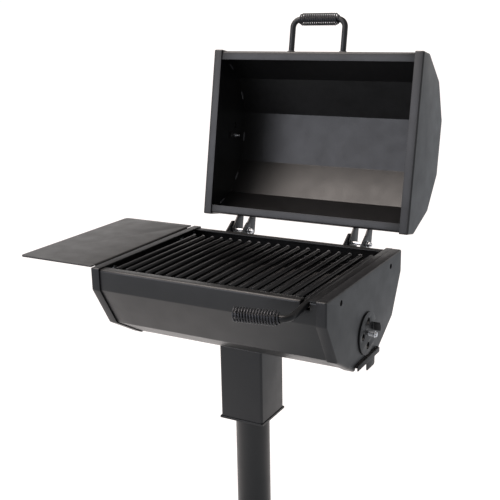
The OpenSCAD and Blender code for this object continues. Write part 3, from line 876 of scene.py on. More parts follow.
# Noise scales, in features per metre
PATCHES, SMUDGES, SETTLING, SPECKS, GLOSS = 5.0, 34.0, 70.0, 620.0, 22.0
WAVES, PEEL, GRAIN = 9.0, 650.0, 2400.0
BLOOM, HAZE, CRYSTALS = 420.0, 300.0, 900.0
OIL, DRAW, SCRATCHES = 160.0, 240.0, 1500.0
# Part of the noise's range that is spread over the whole of a target range
NOISE_RANGE = (0.3, 0.7)
# Powder coat: how far the smudges vary the tint, and the least that they leave of it
SMUDGE_SPAN, SMUDGE_LEAST = 0.6, 0.5
# Powder coat: how far up a face looks where dust begins and ends to grow, and how patchy it lies
DUST_FACING, DUST_PATCHES = (0.35, 1.0), (0.25, 1.0)
# Powder coat: the noise's peaks that are specks, and their share of the dust
SPECK_RANGE, SPECK_SHARE = (0.82, 0.95), 0.8
# Powder coat: how the roughness spreads, what dust adds to it, and the finest relief as a share of the peel
GLOSS_SPREAD, DUST_ROUGHNESS, GRAIN_SHARE = (-0.035, 0.045), 0.8, 0.3
# Zinc: the strongest bloom, and how the roughness spreads
BLOOM_MOST, HAZE_SPREAD = 0.45, (-0.06, 0.12)


class Shading(Nodes):
    """Shader nodes of one material under construction, on the object's own coordinates."""

    def __init__(self, name: str) -> None:
        """Starts an empty material.

        Args:
            name: the material's name.
        """
        self.material = bpy.data.materials.new(name)
        self.material.use_nodes = True
        super().__init__(self.material.node_tree)
        coords = self.node("ShaderNodeTexCoord").outputs
        self.place: Socket = coords["Object"]
        self.normal: Socket = coords["Normal"]

    def noise(self, scale: float, detail: float = 2.0, target: Sequence[float] = (0.0, 1.0)) -> Socket:
        """Noise on the object's coordinates.

        Args:
            scale: features per metre.
            detail: octaves.
            target: the range that it is spread over.

        Returns:
            The noise.
        """
        noise = self.node("ShaderNodeTexNoise", {"Vector": self.place, "Scale": scale, "Detail": detail})
        return self.mapped(noise.outputs[0], NOISE_RANGE, target)

    def bumped(self, layers: Sequence[tuple[Socket, float]]) -> Socket:
        """The normal after bump layers, each a height from 0 to 1 and its depth in metres.

        Args:
            layers: height and depth of each layer.

        Returns:
            The normal.
        """
        inputs: dict[str, object] = {}
        for height, depth in layers:
            inputs |= {"Height": height, "Distance": depth, "Strength": 1.0}
            inputs = {"Normal": self.node("ShaderNodeBump", inputs).outputs[0]}
        return inputs["Normal"]

    def done(self, inputs: dict[str | int, object]) -> bpy.types.Material:
        """Ends the material in a Principled shader with these inputs."""
        shader = self.node("ShaderNodeBsdfPrincipled", inputs)
        self.node("ShaderNodeOutputMaterial", {"Surface": shader.outputs[0]})
        return self.material


@dataclass(frozen=True)
class Finish:
    """A finish with the record's slot that it belongs to."""

    name: str
    slot: str

    def make(self) -> bpy.types.Material:
        """Builds the material."""
        raise NotImplementedError

    def material(self) -> bpy.types.Material:
        """The finish's material, built on first use."""
        return bpy.data.materials.get(self.name) or self.make()


@dataclass(frozen=True)
class Coat(Finish):
    """Satin powder coat: tint patches, orange peel, slow waves of the sheet, dust on what faces a direction."""

    color: Triple
    tint: Triple
    rough: float = 0.38
    specular: float = 0.5
    peel: float = 0.012 * MM
    wave: float = 0.10 * MM
    dust: float = 0.015
    dust_color: Triple = (0.34, 0.33, 0.31)
    dust_from: Triple = (0, 0, 1)

    def make(self) -> bpy.types.Material:
        """Builds the material.

        Returns:
            The material.
        """
        tree = Shading(self.name)
        smudge = tree.math("MULTIPLY_ADD", tree.noise(SMUDGES, 4.0), SMUDGE_SPAN, SMUDGE_LEAST)
        blend = tree.math("MULTIPLY", tree.noise(PATCHES, 3.0), smudge)
        color = tree.mix(blend, self.color, self.tint)
        inputs = {0: tree.normal, 1: self.dust_from}
        facing = tree.node("ShaderNodeVectorMath", inputs, operation="DOT_PRODUCT")
        layer = tree.mapped(facing.outputs["Value"], DUST_FACING, (0.0, self.dust))
        settled = tree.math("MULTIPLY", layer, tree.noise(SETTLING, 6.0, DUST_PATCHES))
        specks = tree.mapped(tree.noise(SPECKS), SPECK_RANGE, (0.0, self.dust * SPECK_SHARE))
        color = tree.mix(tree.math("ADD", settled, specks), color, self.dust_color)
        gloss = tree.noise(GLOSS, 4.0, [self.rough + spread for spread in GLOSS_SPREAD])
        rough = tree.math("ADD", gloss, tree.math("MULTIPLY", settled, DUST_ROUGHNESS))
        fine = tree.noise(GRAIN, 1.0), self.peel * GRAIN_SHARE
        normal = tree.bumped([(tree.noise(WAVES, 1.0), self.wave), (tree.noise(PEEL), self.peel), fine])
        inputs = {"Base Color": color, "Roughness": rough, "Specular IOR Level": self.specular}
        return tree.done({**inputs, "Normal": normal})


@dataclass(frozen=True)
class Plating(Finish):
    """Bright zinc plate with a faint cloudy bloom."""

    color: Triple = (0.74, 0.75, 0.77)
    bloom: Triple = (0.5, 0.5, 0.5)
    rough: float = 0.27
    relief: float = 0.008 * MM

    def make(self) -> bpy.types.Material:
        """Builds the material.

        Returns:
            The material.
        """
        tree = Shading(self.name)
        color = tree.mix(tree.noise(BLOOM, 4.0, (0.0, BLOOM_MOST)), self.color, self.bloom)
        rough = tree.noise(HAZE, 3.0, [self.rough + spread for spread in HAZE_SPREAD])
        normal = tree.bumped([(tree.noise(CRYSTALS, 3.0), self.relief)])
        return tree.done({"Base Color": color, "Metallic": 1.0, "Roughness": rough, "Normal": normal})


@dataclass(frozen=True)
class SpringWire(Finish):
    """Oil-blackened spring wire."""

    color: Triple = (0.014, 0.014, 0.016)
    shine: Triple = (0.04, 0.04, 0.045)
    rough: Pair = (0.22, 0.34)
    metallic: float = 0.4
    relief: float = 0.01 * MM

    def make(self) -> bpy.types.Material:
        """Builds the material.

        Returns:
            The material.
        """
        tree = Shading(self.name)
        color = tree.mix(tree.noise(OIL, 4.0), self.color, self.shine)
        rough = tree.noise(DRAW, 3.0, self.rough)
        normal = tree.bumped([(tree.noise(SCRATCHES), self.relief)])
        inputs = {"Base Color": color, "Metallic": self.metallic, "Roughness": rough}
        return tree.done({**inputs, "Normal": normal})


# The direction from which dust settles on the lid, in the coordinates of its meshes
LID_DUST_FROM = (0, -0.98, -0.19)
# Two copies of one black satin coat as painted reflection colour: a cool tint on the sleeve, end plates, hinge
# ears and draft damper, a warm tint on the folded sheet
PLATE_COAT_PAINTED_COOL_LIGHT = Coat(
    "satin_plate", "coat_plate", (0.0055, 0.0055, 0.0063), (0.0085, 0.0085, 0.0095), specular=0.42,
)
SHEET_COAT_PAINTED_WARM_LIGHT = Coat(
    "satin_sheet", "coat_warm", (0.0055, 0.0053, 0.0054), (0.0085, 0.0082, 0.0084), specular=0.47,
)
LID_COAT = Coat(
    "satin_lid", "coat_warm", (0.0045, 0.0043, 0.0045), (0.007, 0.0068, 0.007),
    rough=0.36, dust_from=LID_DUST_FROM,
)
SHELF_COAT = Coat(
    "satin_shelf", "coat_warm", (0.009, 0.0086, 0.0082), (0.014, 0.0132, 0.0128),
    rough=0.39, wave=0.05 * MM, dust=0.03,
)
DARK_COAT = Coat(
    "satin_dark", "coat_dark", (0.005, 0.005, 0.0055), (0.008, 0.008, 0.0085), specular=0.42,
)
BAR_COAT = Coat(
    "satin_bar", "coat_bar", (0.0035, 0.0035, 0.004), (0.006, 0.006, 0.0065),
    rough=0.34, specular=0.3, wave=0.0,
)
TRAY_COAT = Coat(
    "satin_tray", "tray_steel", (0.004, 0.004, 0.0045), (0.008, 0.008, 0.0085),
    rough=0.45, specular=0.3, dust=0.03,
)
# Weld beads: black satin lightened well above the other coats, as a painted glint on every bead
PAINTED_GLINT_WELDS = Coat(
    "painted_glint_weld", "coat_dark", (0.035, 0.035, 0.038), (0.08, 0.08, 0.085), rough=0.28, wave=0.0, dust=0.02,
)
ZINC = Plating("bright_zinc", "zinc")
WIRE = SpringWire("black_wire", "grip_wire")


# Putting pieces into the scene


@dataclass(frozen=True)
class Row:
    """A straight row of copies: their number, the place of the first and the step to the next."""

    count: int
    start: Triple
    step: Triple


@dataclass(frozen=True)
class Winding:
    """A wire wound round Z, with a radius of its own at both ends, and the fineness of its mesh."""

    turns: float
    pitch: float
    radius: float
    first: float
    last: float
    wire: float = 4 * MM
    rings: int = 32
    sides: int = 14


@dataclass
class Workshop:
    """Turns meshes into finished pieces that ride on the CAD bodies."""

    coil: Growth = field(default_factory=coil_tree)
    bead: Growth = field(default_factory=bead_tree)
    row: Growth = field(default_factory=row_tree)
    round_edge: float = 60.0
    made: list[str] = field(default_factory=list)

    def add(
        self, name: str, shape: Solid | bpy.types.Mesh, finish: Finish, body: str, *nodes: str,
        sharp: float = 38.0,
    ) -> None:
        """Adds a piece to the scene.

        Args:
            name: the piece's name.
            shape: its solid or mesh, in place.
            finish: its finish.
            body: the CAD body that it rides on.
            nodes: the CAD nodes that it stands for.
            sharp: angle in degrees from which an edge shows sharp.
        """
        mesh = shape.mesh(name) if isinstance(shape, Solid) else shape
        mesh.name = name
        mesh.materials.clear()
        mesh.materials.append(finish.material())
        mesh.polygons.foreach_set("material_index", [0] * len(mesh.polygons))
        mesh.polygons.foreach_set("use_smooth", [True] * len(mesh.polygons))
        mesh.set_sharp_from_angle(angle=math.radians(sharp))
        obj = bpy.data.objects.new(name, mesh)
        bpy.context.scene.collection.objects.link(obj)
        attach(obj, body)
        if nodes:
            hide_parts(*nodes)
        self.made.append(name)
        log.info("%s: %d faces on %s", name, len(mesh.polygons), body)

    def keep(self, node: bpy.types.Object, finish: Finish) -> None:
        """Shows a CAD node itself, with its edges softened by modifiers and a finish.

        Args:
            node: the CAD node.
            finish: its finish.
        """
        node.data.materials.clear()
        node.data.materials.append(finish.material())
        give(node, [("WELD", {"merge_threshold": KEPT_MERGE}), bevel(KEPT_WIDTH, KEPT_ANGLE, "MITER_SHARP")])
        log.info("%s: kept from the model", node.name)

    def wound(self, name: str, matrix: Matrix, finish: Finish, winding: Winding) -> bpy.types.Mesh:
        """A coil or thread, wound round Z by the coil tree and then put in place by a matrix.

        Args:
            name: name of the new mesh.
            matrix: where it goes.
            finish: its finish.
            winding: how it is wound.

        Returns:
            The mesh, in place.
        """
        labels = {key.title(): value for key, value in asdict(winding).items()}
        mesh = self.coil.grow(name, None, {**labels, "Material": finish.material()})
        mesh.transform(matrix)
        if matrix.determinant() < 0:
            mesh.flip_normals()
        return mesh

    def add_coil(
        self, name: str, matrix: Matrix, finish: Finish, winding: Winding, body: str, node: str,
    ) -> None:
        """Adds a coil that stands for a CAD node.

        Args:
            name: the piece's name.
            matrix: where it goes.
            finish: its finish.
            winding: how it is wound.
            body: the CAD body that it rides on.
            node: the CAD node that it stands for.
        """
        self.add(name, self.wound(name, matrix, finish, winding), finish, body, node, sharp=self.round_edge)

    def add_row(self, name: str, shape: Solid, finish: Finish, row: Row, body: str, node: str) -> None:
        """Adds copies of a solid in a straight row, made by the row tree, that stand for a CAD node.

        Args:
            name: the piece's name.
            shape: the solid, as the row's steps start from it.
            finish: its finish.
            row: where the copies stand.
            body: the CAD body that it rides on.
            node: the CAD node that it stands for.
        """
        values = {"Count": row.count, "Start": row.start, "Step": row.step, "Material": finish.material()}
        self.add(name, self.row.grow(name, shape.mesh(name), values), finish, body, node)

    def welds(self, name: str, lines: Sequence[Loop], body: str, radius: float, seed: float) -> None:
        """Adds weld beads along lines, made by the bead tree.

        Args:
            name: the piece's name.
            lines: the beads' middle lines; a closed one ends in its first point.
            body: the CAD body that they ride on.
            radius: the beads' radius.
            seed: a number of its own for each piece, so that no two look the same.
        """
        points: list[tuple[float, ...]] = []
        edges: list[tuple[int, int]] = []
        for line in lines:
            first = len(points)
            points += [tuple(p) for p in line]
            edges += [(first + i, first + i + 1) for i in range(len(line) - 1)]
        mesh = bpy.data.meshes.new(name)
        mesh.from_pydata(points, edges, [])
        # the weld coat's light colour is a painted glint
        values = {"Radius": radius, "Seed": seed, "Material": PAINTED_GLINT_WELDS.material()}
        self.add(name, self.bead.grow(name, mesh, values), PAINTED_GLINT_WELDS, body, sharp=self.round_edge)


def meshes_joined(name: str, parts: Sequence[bpy.types.Mesh]) -> bpy.types.Mesh:
    """Several meshes as one; the parts are removed.

    Args:
        name: name of the new mesh.
        parts: the meshes.

    Returns:
        The new mesh.
    """
    bm = bmesh.new()
    for part in parts:
        bm.from_mesh(part)
        bpy.data.meshes.remove(part)
    out = bpy.data.meshes.new(name)
    bm.to_mesh(out)
    bm.free()
    return out


# Sub-assemblies

# How far a cutter for holes stands out of a plate on both sides
AIR_REACH = 4 * MM
BOLT_REACH = 6 * MM


def at_station(loop: Loop, x: float) -> Loop:
    """A flat loop stood upright across the X axis."""
    return [Vector((x, p.x, p.y)) for p in loop]


@dataclass
class FoldedForm:
    """The folded outline that firebox and lid share, in the frame of the rim: rim up, at level 0."""

    wall: float
    half: float
    fold_radius: float = 10.8 * MM
    rim_radius: float = 9.4 * MM
    pan_radius: float = 4.5 * MM
    pan_rim_radius: float = 3.6 * MM
    least_fold: float = 0.4 * MM
    least_rim: float = 0.3 * MM
    edge: float = 0.5 * MM
    fold_steps: int = 6
    rim_steps: int = 7
    spans: int = 8
    stitch: float = 26 * MM
    stitch_room: float = 0.9 * MM
    end_room: float = 1.0 * MM

    def half_points(self, grow: float, top: float) -> Loop:
        """Corners of the front half: rim, foot of the wall, knee and base, as (y, z).

        Args:
            grow: how far the outline moves out.
            top: height of the rim's corner.

        Returns:
            The corners, from the rim down.
        """
        extra = 2 * grow * math.tan(PLAN.fold / 2)
        rim = Vector((-PLAN.depth / 2 - grow, top))
        foot = Vector((rim.x, -self.wall - extra / 2))
        knee = foot + (PLAN.upper + extra) * Vector((math.sin(PLAN.fold), -math.cos(PLAN.fold)))
        base = knee + (PLAN.lower + extra) * Vector((math.sin(2 * PLAN.fold), -math.cos(2 * PLAN.fold)))
        return [rim, foot, knee, base]

    def closed(self, grow: float) -> Loop:
        """The closed outline moved out by a distance, with rounded corners.

        Args:
            grow: how far the outline moves out.

        Returns:
            The outline as (y, z).
        """
        fold = max(self.least_fold, self.fold_radius + grow)
        rim = max(self.least_rim, self.pan_rim_radius + grow)
        return fillet(mirrored(self.half_points(grow, grow)), [rim, *[fold] * 6, rim], self.fold_steps)

    def open(self, grow: float) -> Loop:
        """The shell's outline from one lip's edge round to the other's.

        Args:
            grow: how far the outline moves out.

        Returns:
            The outline as (y, z).
        """
        lip = Vector((PLAN.lip - PLAN.depth / 2, grow))
        fold, rim = self.fold_radius + grow, self.rim_radius + grow
        corners = mirrored([lip] + self.half_points(grow, grow))
        return fillet(corners, [0.0, rim, *[fold] * 6, rim, 0.0], self.rim_steps, closed=False)

    def shell(self) -> Solid:
        """The folded sheet with its lips, between the end plates.

        Returns:
            The sheet.
        """
        section = self.open(-PLAN.sheet) + self.open(-2 * PLAN.sheet)[::-1]
        n = len(section) // 2
        reach = self.half - PLAN.sheet
        out = loft([at_station(section, reach * (2 * k / self.spans - 1)) for k in range(self.spans + 1)])
        out.faces = out.faces[:-2]
        for ring, order in ((0, 1), (self.spans, -1)):
            first = ring * 2 * n
            for i in range(n - 1):
                quad = (first + i, first + i + 1, first + 2 * n - 2 - i, first + 2 * n - 1 - i)
                out.faces.append(quad[::order])
        return out

    def pan(self, frame: Matrix) -> Solid:
        """An end plate with its flange all round, for the end at -X of a frame.

        Args:
            frame: where it goes.

        Returns:
            The plate, in place.
        """
        radius, inner = self.pan_radius, self.pan_radius - PLAN.sheet
        inside = arc(inner, math.pi / 2, 0.0, self.fold_steps)
        outside = arc(radius, 0.0, math.pi / 2, self.fold_steps)
        profile = [(p.x - radius, radius - p.y) for p in inside]
        profile += barrel(PLAN.flange, -PLAN.sheet, 0.0, self.edge)
        profile += [(p.x - radius, radius - p.y) for p in outside]
        return loft([at_station(self.closed(grow), x - self.half) for grow, x in profile]).placed(frame)

    def stitches(self, frame: Matrix) -> list[Loop]:
        """A short weld in the middle of each panel, in the inner corners at both end plates.

        Args:
            frame: where they go.

        Returns:
            The welds' middle lines, in place.
        """
        corners = mirrored(self.half_points(-2 * PLAN.sheet - self.stitch_room, 0.0))
        reach = self.half - PLAN.sheet - self.end_room
        shares = (-0.5, -0.25, 0.0, 0.25, 0.5)
        lines = []
        for x in (-reach, reach):
            for a, b in zip(corners, corners[1:]):
                middle, lead = (a + b) / 2, (b - a).normalized() * self.stitch
                lines.append([frame @ Vector((x, *(middle + lead * share))) for share in shares])
        return lines


def air_cutters(frame: Matrix) -> Solid:
    """Cutters for a damper's three air holes and its bolt, through the end plate at its frame.

    Args:
        frame: the damper's frame.

    Returns:
        The cutters, in place.
    """
    low, high = -PLAN.sheet / 2 - AIR_REACH, -PLAN.sheet / 2 + AIR_REACH
    hole = lathe([(low, PLAN.air_hole), (high, PLAN.air_hole)], AIR_CUTTER)
    out = Solid()
    for y, z in ((0, 1), (-1, 0), (0, -1)):
        out += hole.placed(shift(0, y * PLAN.air_circle, z * PLAN.air_circle))
    bore = lathe([(low, PLAN.damper_hole), (high, PLAN.damper_hole)], SMALL_HOLE)
    return (out + bore).placed(frame)


def shelf_bolt_cutters(side: int, radius: float) -> Solid:
    """Cutters for the two shelf bolt holes of one end plate.

    Args:
        side: -1 for the left plate and 1 for the right one.
        radius: the holes' radius.

    Returns:
        The cutters, in place.
    """
    x = side * PLAN.half
    hole = lathe([(x - BOLT_REACH, radius), (x + BOLT_REACH, radius)], BOLT_CUTTER)
    hole = hole.placed(HEAD @ shift(0, 0, PLAN.shelf_bolt_z))
    return hole.placed(shift(0, -PLAN.shelf_bolt_y, 0)) + hole.placed(shift(0, PLAN.shelf_bolt_y, 0))


@dataclass
class Post:
    """The base plate and the pipe that carry everything."""

    side: float = 0.360
    corner: float = 9 * MM
    thick: float = 10 * MM
    hole: float = 7 * MM
    hole_at: float = 0.150
    rounding: float = 0.9 * MM
    pipe: float = 88.9 * MM / 2
    wall: float = 5.5 * MM
    top: float = 632.18 * MM
    edge: float = 0.6 * MM
    foot_seat: Pair = (1.4 * MM, 0.6 * MM)
    cap_seat: float = -1.9 * MM
    bead: float = 2.6 * MM
    bead_points: int = 72
    pipe_sides: int = 96
    body: str = "post"

    def build(self, shop: Workshop) -> None:
        """Builds plate, pipe and their welds.

        Args:
            shop: the workshop that adds the pieces.
        """
        half, at = self.side / 2, (-self.hole_at, self.hole_at)
        outline = rectangle((-half, -half), (half, half), self.corner)
        holes = [circle(self.hole, BOLT_HOLE, (x, y)) for x in at for y in at]
        base = plate(outline, holes, self.thick, self.rounding)
        shop.add("base_plate_cut", base, DARK_COAT, self.body, "base_plate")
        section = wall_section(self.pipe, self.pipe - self.wall, self.thick, self.top, self.edge)
        pipe = lathe(section, self.pipe_sides, wrap=True).placed(turn(-90, "Y"))
        shop.add("post_tube", pipe, DARK_COAT, self.body, "post_pipe")
        rise, grow = self.foot_seat
        seats = ((self.thick + rise, self.pipe + grow), (self.top, self.pipe + self.cap_seat))
        lines = [ring_line(Vector((0, 0, z)), radius, UP, self.bead_points) for z, radius in seats]
        shop.welds("post_welds", lines, self.body, self.bead, seed=3.0)


@dataclass
class Sleeve:
    """The square sleeve that turns on the post."""

    side: float = 121 * MM
    wall: float = 4.5 * MM
    bottom: float = 447.08 * MM
    top: float = 648.48 * MM
    corner: float = 6.5 * MM
    least_corner: float = 0.6 * MM
    edge: float = 0.5 * MM
    seam_level: float = 644.08 * MM
    seam_room: float = 0.9 * MM
    bead: float = 2.6 * MM
    body: str = "head"

    def ring(self, grow: float, z: float) -> Loop:
        """The square with rounded corners, moved out by a distance, at a height."""
        half = self.side / 2 + grow
        corner = max(self.least_corner, self.corner + grow)
        return at_level(rectangle((-half, -half), (half, half), corner), z)

    def build(self, shop: Workshop) -> None:
        """Builds the tube and the weld round its top.

        Args:
            shop: the workshop that adds the pieces.
        """
        section = wall_section(0.0, -self.wall, self.bottom, self.top, self.edge)
        tube_wall = loft([self.ring(grow, z) for z, grow in section], wrap=True)
        shop.add("sleeve_tube", tube_wall, PLATE_COAT_PAINTED_COOL_LIGHT, self.body, "sleeve")
        seam = self.ring(self.seam_room, self.seam_level)
        shop.welds("sleeve_welds", [seam + seam[:1]], self.body, self.bead, seed=5.0)


@dataclass
class Firebox:
    """The folded firebox with its two end plates."""

    form: FoldedForm = field(default_factory=lambda: FoldedForm(PLAN.box_wall, PLAN.half))
    notch: float = 24 * MM
    notch_bottom: float = -23.49 * MM
    notch_y: Pair = (-0.25, -0.2075)
    notch_top: float = 10 * MM
    free_hole: float = 7 * MM
    opening_half: float = 71.29 * MM
    opening_z: Pair = (0.6, 658.48 * MM)
    opening_x: Pair = (-26 * MM, 2 * MM)
    strip_play: float = 2.6 * MM
    strip_seam: float = 0.1 * MM
    strip_edge: float = 0.9 * MM
    bead: float = 2.4 * MM
    body: str = "head"

    def build(self, shop: Workshop) -> None:
        """Builds shell, end plates and the stitch welds inside.

        Args:
            shop: the workshop that adds the pieces.
        """
        left_x, right_x = PLAN.handle_x - self.notch / 2, PLAN.handle_x + self.notch / 2
        slot = box((left_x, self.notch_y[0], self.notch_bottom), (right_x, self.notch_y[1], self.notch_top))
        shell = carved(self.form.shell().placed(HEAD).mesh("shell"), slot.placed(HEAD))
        shop.add("firebox_sheet", softened(shell), SHEET_COAT_PAINTED_WARM_LIGHT, self.body, "firebox_shell")
        left = carved(self.form.pan(HEAD).mesh("left"), shelf_bolt_cutters(-1, PLAN.bolt_hole))
        shop.add("firebox_left", left, PLATE_COAT_PAINTED_COOL_LIGHT, self.body, "firebox_end_left")
        (x0, x1), (z0, z1) = self.opening_x, self.opening_z
        opening = box((PLAN.half + x0, -self.opening_half, z0), (PLAN.half + x1, self.opening_half, z1))
        cutters = shelf_bolt_cutters(1, self.free_hole) + air_cutters(DRAFT) + opening
        right = carved(self.form.pan(HEAD @ flip(MIRROR_X)).mesh("right"), cutters)
        shop.add("firebox_right", right, PLATE_COAT_PAINTED_COOL_LIGHT, self.body, "firebox_end_right")
        shop.welds("firebox_welds", self.form.stitches(HEAD), self.body, self.bead, seed=1.0)
        self.strip(shop)

    def strip(self, shop: Workshop) -> None:
        """Builds the strip that lies on the lips and widens the draft end's flange up to the notch.

        Args:
            shop: the workshop that adds the pieces.
        """
        inner = PLAN.handle_x + PLAN.handle / 2 + self.strip_play
        outer = PLAN.half - PLAN.flange - self.strip_seam
        end = PLAN.depth / 2 - self.strip_seam
        thick = PLAN.sheet - 2 * self.strip_seam
        strip = plate(rectangle((inner, -end), (outer, end)), [], thick, self.strip_edge)
        strip = strip.placed(HEAD @ shift(0, 0, self.strip_seam - PLAN.sheet))
        shop.add("draft_end_strip", strip, BAR_COAT, self.body)


@dataclass
class Lid:
    """The lid: the same folded form turned over, with its handle."""

    form: FoldedForm = field(default_factory=lambda: FoldedForm(PLAN.lid_wall, PLAN.lid_half))
    leg: float = 78 * MM
    reach: float = 90 * MM
    bend: float = 22 * MM
    bend_steps: int = 14
    bar_chamfer: float = 0.3 * MM
    turns: float = 18.0
    seat: Pair = (-1.0 * MM, 0.8 * MM)
    bead: float = 2.4 * MM
    body: str = "lid"

    def build(self, shop: Workshop) -> None:
        """Builds shell, end plates, handle, grip and welds.

        Args:
            shop: the workshop that adds the pieces.
        """
        shell = softened(self.form.shell().placed(LID_FORM).mesh("shell"))
        left = carved(self.form.pan(LID_FORM).mesh("left"), air_cutters(VENT))
        shop.add("lid_sheet", shell, LID_COAT, self.body, "lid_shell")
        shop.add("lid_left", left, LID_COAT, self.body, "lid_end_left")
        shop.add("lid_right", self.form.pan(LID_FORM @ flip(MIRROR_X)), LID_COAT, self.body, "lid_end_right")
        self.handle(shop)
        y, grow = self.seat
        feet = [Vector((side * self.leg, y, 0)) for side in (-1, 1)]
        rings = [ring_line(foot, PLAN.handle / 2 + grow, Vector((0, 1, 0))) for foot in feet]
        lines = self.form.stitches(LID_FORM) + [[LID_HANDLE @ p for p in line] for line in rings]
        shop.welds("lid_welds", lines, self.body, self.bead, seed=2.0)

    def handle(self, shop: Workshop) -> None:
        """Builds the U of round bar and the coil wound on it.

        Args:
            shop: the workshop that adds the pieces.
        """
        corners = [(-self.leg, 0.0), (-self.leg, -self.reach), (self.leg, -self.reach), (self.leg, 0.0)]
        flat = fillet(corners, [0, self.bend, self.bend, 0], self.bend_steps, closed=False)
        path = [LID_HANDLE @ p for p in at_level(flat, 0.0)]
        bar = tube(path, PLAN.handle / 2, self.bar_chamfer)
        shop.add("lid_handle_bar", bar, DARK_COAT, self.body, "lid_handle")
        winding = Winding(self.turns, PLAN.grip_pitch, PLAN.grip, PLAN.grip_end, PLAN.grip_end)
        matrix = LID_HANDLE @ shift(-self.turns * PLAN.grip_pitch / 2, -self.reach, 0) @ turn(90, "Y")
        shop.add_coil("lid_coil", matrix, WIRE, winding, self.body, "lid_grip")


@dataclass
class Grate:
    """The grate of round bars with the handle that leaves through the notch."""

    count: int = 18
    step: float = 29.2778 * MM
    front: float = 0.200
    overhang: float = 8 * MM
    chamfer: float = 1.1 * MM
    droop: float = 5.5
    kink: float = 4 * MM
    kink_drop: float = 0.1 * MM
    run: float = 55 * MM
    bend: float = 20 * MM
    bend_steps: int = 20
    angle: float = 82.0
    grip_turns: float = 16.0
    grip_start: float = 4 * MM
    bar_end: float = 2 * MM
    weld_side: float = 3.4 * MM
    weld_reach: float = 5 * MM
    tip_side: float = 4.4 * MM
    tip_sag: float = 1.8 * MM
    tip_sink: float = 0.4 * MM
    tip_back: float = 1.0 * MM
    bead: float = 1.9 * MM
    body: str = "grate"

    def build(self, shop: Workshop) -> None:
        """Builds bars, rods, the handle bar with its coil, and the welds.

        Args:
            shop: the workshop that adds the pieces.
        """
        p = PLAN
        back = p.back_rod + self.overhang
        row = Row(self.count, (-p.handle_x, 0, p.rim + p.bar_z), (self.step, 0, 0))
        bar = rod(p.bar / 2, -self.front, back, self.chamfer).placed(turn(90, "Z"))
        shop.add_row("grate_row", bar, BAR_COAT, row, self.body, "grate_bars")
        low = p.rim + p.rod_z
        front = rod(p.bar / 2, -p.handle_x - p.bar / 2, p.handle_x + p.handle / 2, self.chamfer)
        rear_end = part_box("grate_rods")[1].x
        rear = rod(p.bar / 2, -rear_end, rear_end, self.chamfer).placed(shift(0, p.back_rod, low))
        rods = front.placed(shift(0, -p.front_rod, low)) + rear
        shop.add("grate_cross_rods", rods, BAR_COAT, self.body, "grate_rods")
        bar = tube(self.handle_path(back), p.handle / 2)
        shop.add("grate_handle", bar, BAR_COAT, self.body, "grate_handle_bar")
        matrix = self.after_bend() @ shift(self.grip_start, 0, 0) @ turn(90, "Y")
        winding = Winding(self.grip_turns, p.grip_pitch, p.grip, p.grip_end, p.grip)
        shop.add_coil("grate_coil", matrix, WIRE, winding, self.body, "grate_grip")
        shop.welds("grate_welds", self.crossings() + self.tips(back), self.body, self.bead, seed=7.0)

    def crossings(self) -> list[Loop]:
        """Middle lines of the welds on both sides of each crossing of a bar and a rod.

        Returns:
            The lines.
        """
        height = PLAN.rim + (PLAN.bar_z + PLAN.rod_z) / 2
        lines = []
        for i in range(self.count + 1):
            for y in (-PLAN.front_rod, PLAN.back_rod):
                for side in (-self.weld_side, self.weld_side):
                    x = i * self.step - PLAN.handle_x + side
                    lines.append([Vector((x, y + t * self.weld_reach, height)) for t in (-1, 0, 1)])
        return lines

    def tips(self, back: float) -> list[Loop]:
        """Middle lines of the welds over the back ends of the bars, which carry a painted glint on each bar
        end.

        Args:
            back: Y of the bars' back ends.

        Returns:
            The lines.
        """
        top = PLAN.rim + PLAN.bar_z + PLAN.bar / 2 - self.tip_sink
        arch = [(t * self.tip_side, top - t * t * self.tip_sag) for t in (-1, -0.5, 0, 0.5, 1)]
        middles = [i * self.step - PLAN.handle_x for i in range(self.count)]
        return [[Vector((x + across, back - self.tip_back, z)) for across, z in arch] for x in middles]

    def at_droop(self) -> Matrix:
        """Frame at the front rod from which the handle bar droops and leads along -Y."""
        return HEAD @ shift(PLAN.handle_x, -PLAN.front_rod, PLAN.handle_z) @ turn(self.droop, "X")

    def at_bend(self) -> Matrix:
        """Frame of the handle bar's bend."""
        run = (PLAN.depth / 2 + self.run - PLAN.front_rod) / math.cos(math.radians(self.droop))
        return self.at_droop() @ shift(-self.bend, -run, 0) @ turn(-self.angle, "Z")

    def after_bend(self) -> Matrix:
        """Frame in which the grip leads along +X."""
        return self.at_bend() @ shift(self.bend, 0, 0) @ turn(-90, "Z")

    def handle_path(self, back: float) -> Loop:
        """Middle line of the handle bar from its back end to the end of the grip.

        Args:
            back: Y of the bar's back end.

        Returns:
            The line's points.
        """
        ends = (back, self.kink - PLAN.front_rod)
        points = [HEAD @ Vector((PLAN.handle_x, y, PLAN.handle_z)) for y in ends]
        kink = ((0, 0, -self.kink_drop), (0, -self.kink, 0))
        points += [self.at_droop() @ Vector(p) for p in kink]
        bend = arc(self.bend, math.radians(self.angle), 0.0, self.bend_steps)
        points += [self.at_bend() @ p for p in at_level(bend, 0.0)]
        return points + [self.after_bend() @ Vector((self.grip_turns * PLAN.grip_pitch + self.bar_end, 0, 0))]


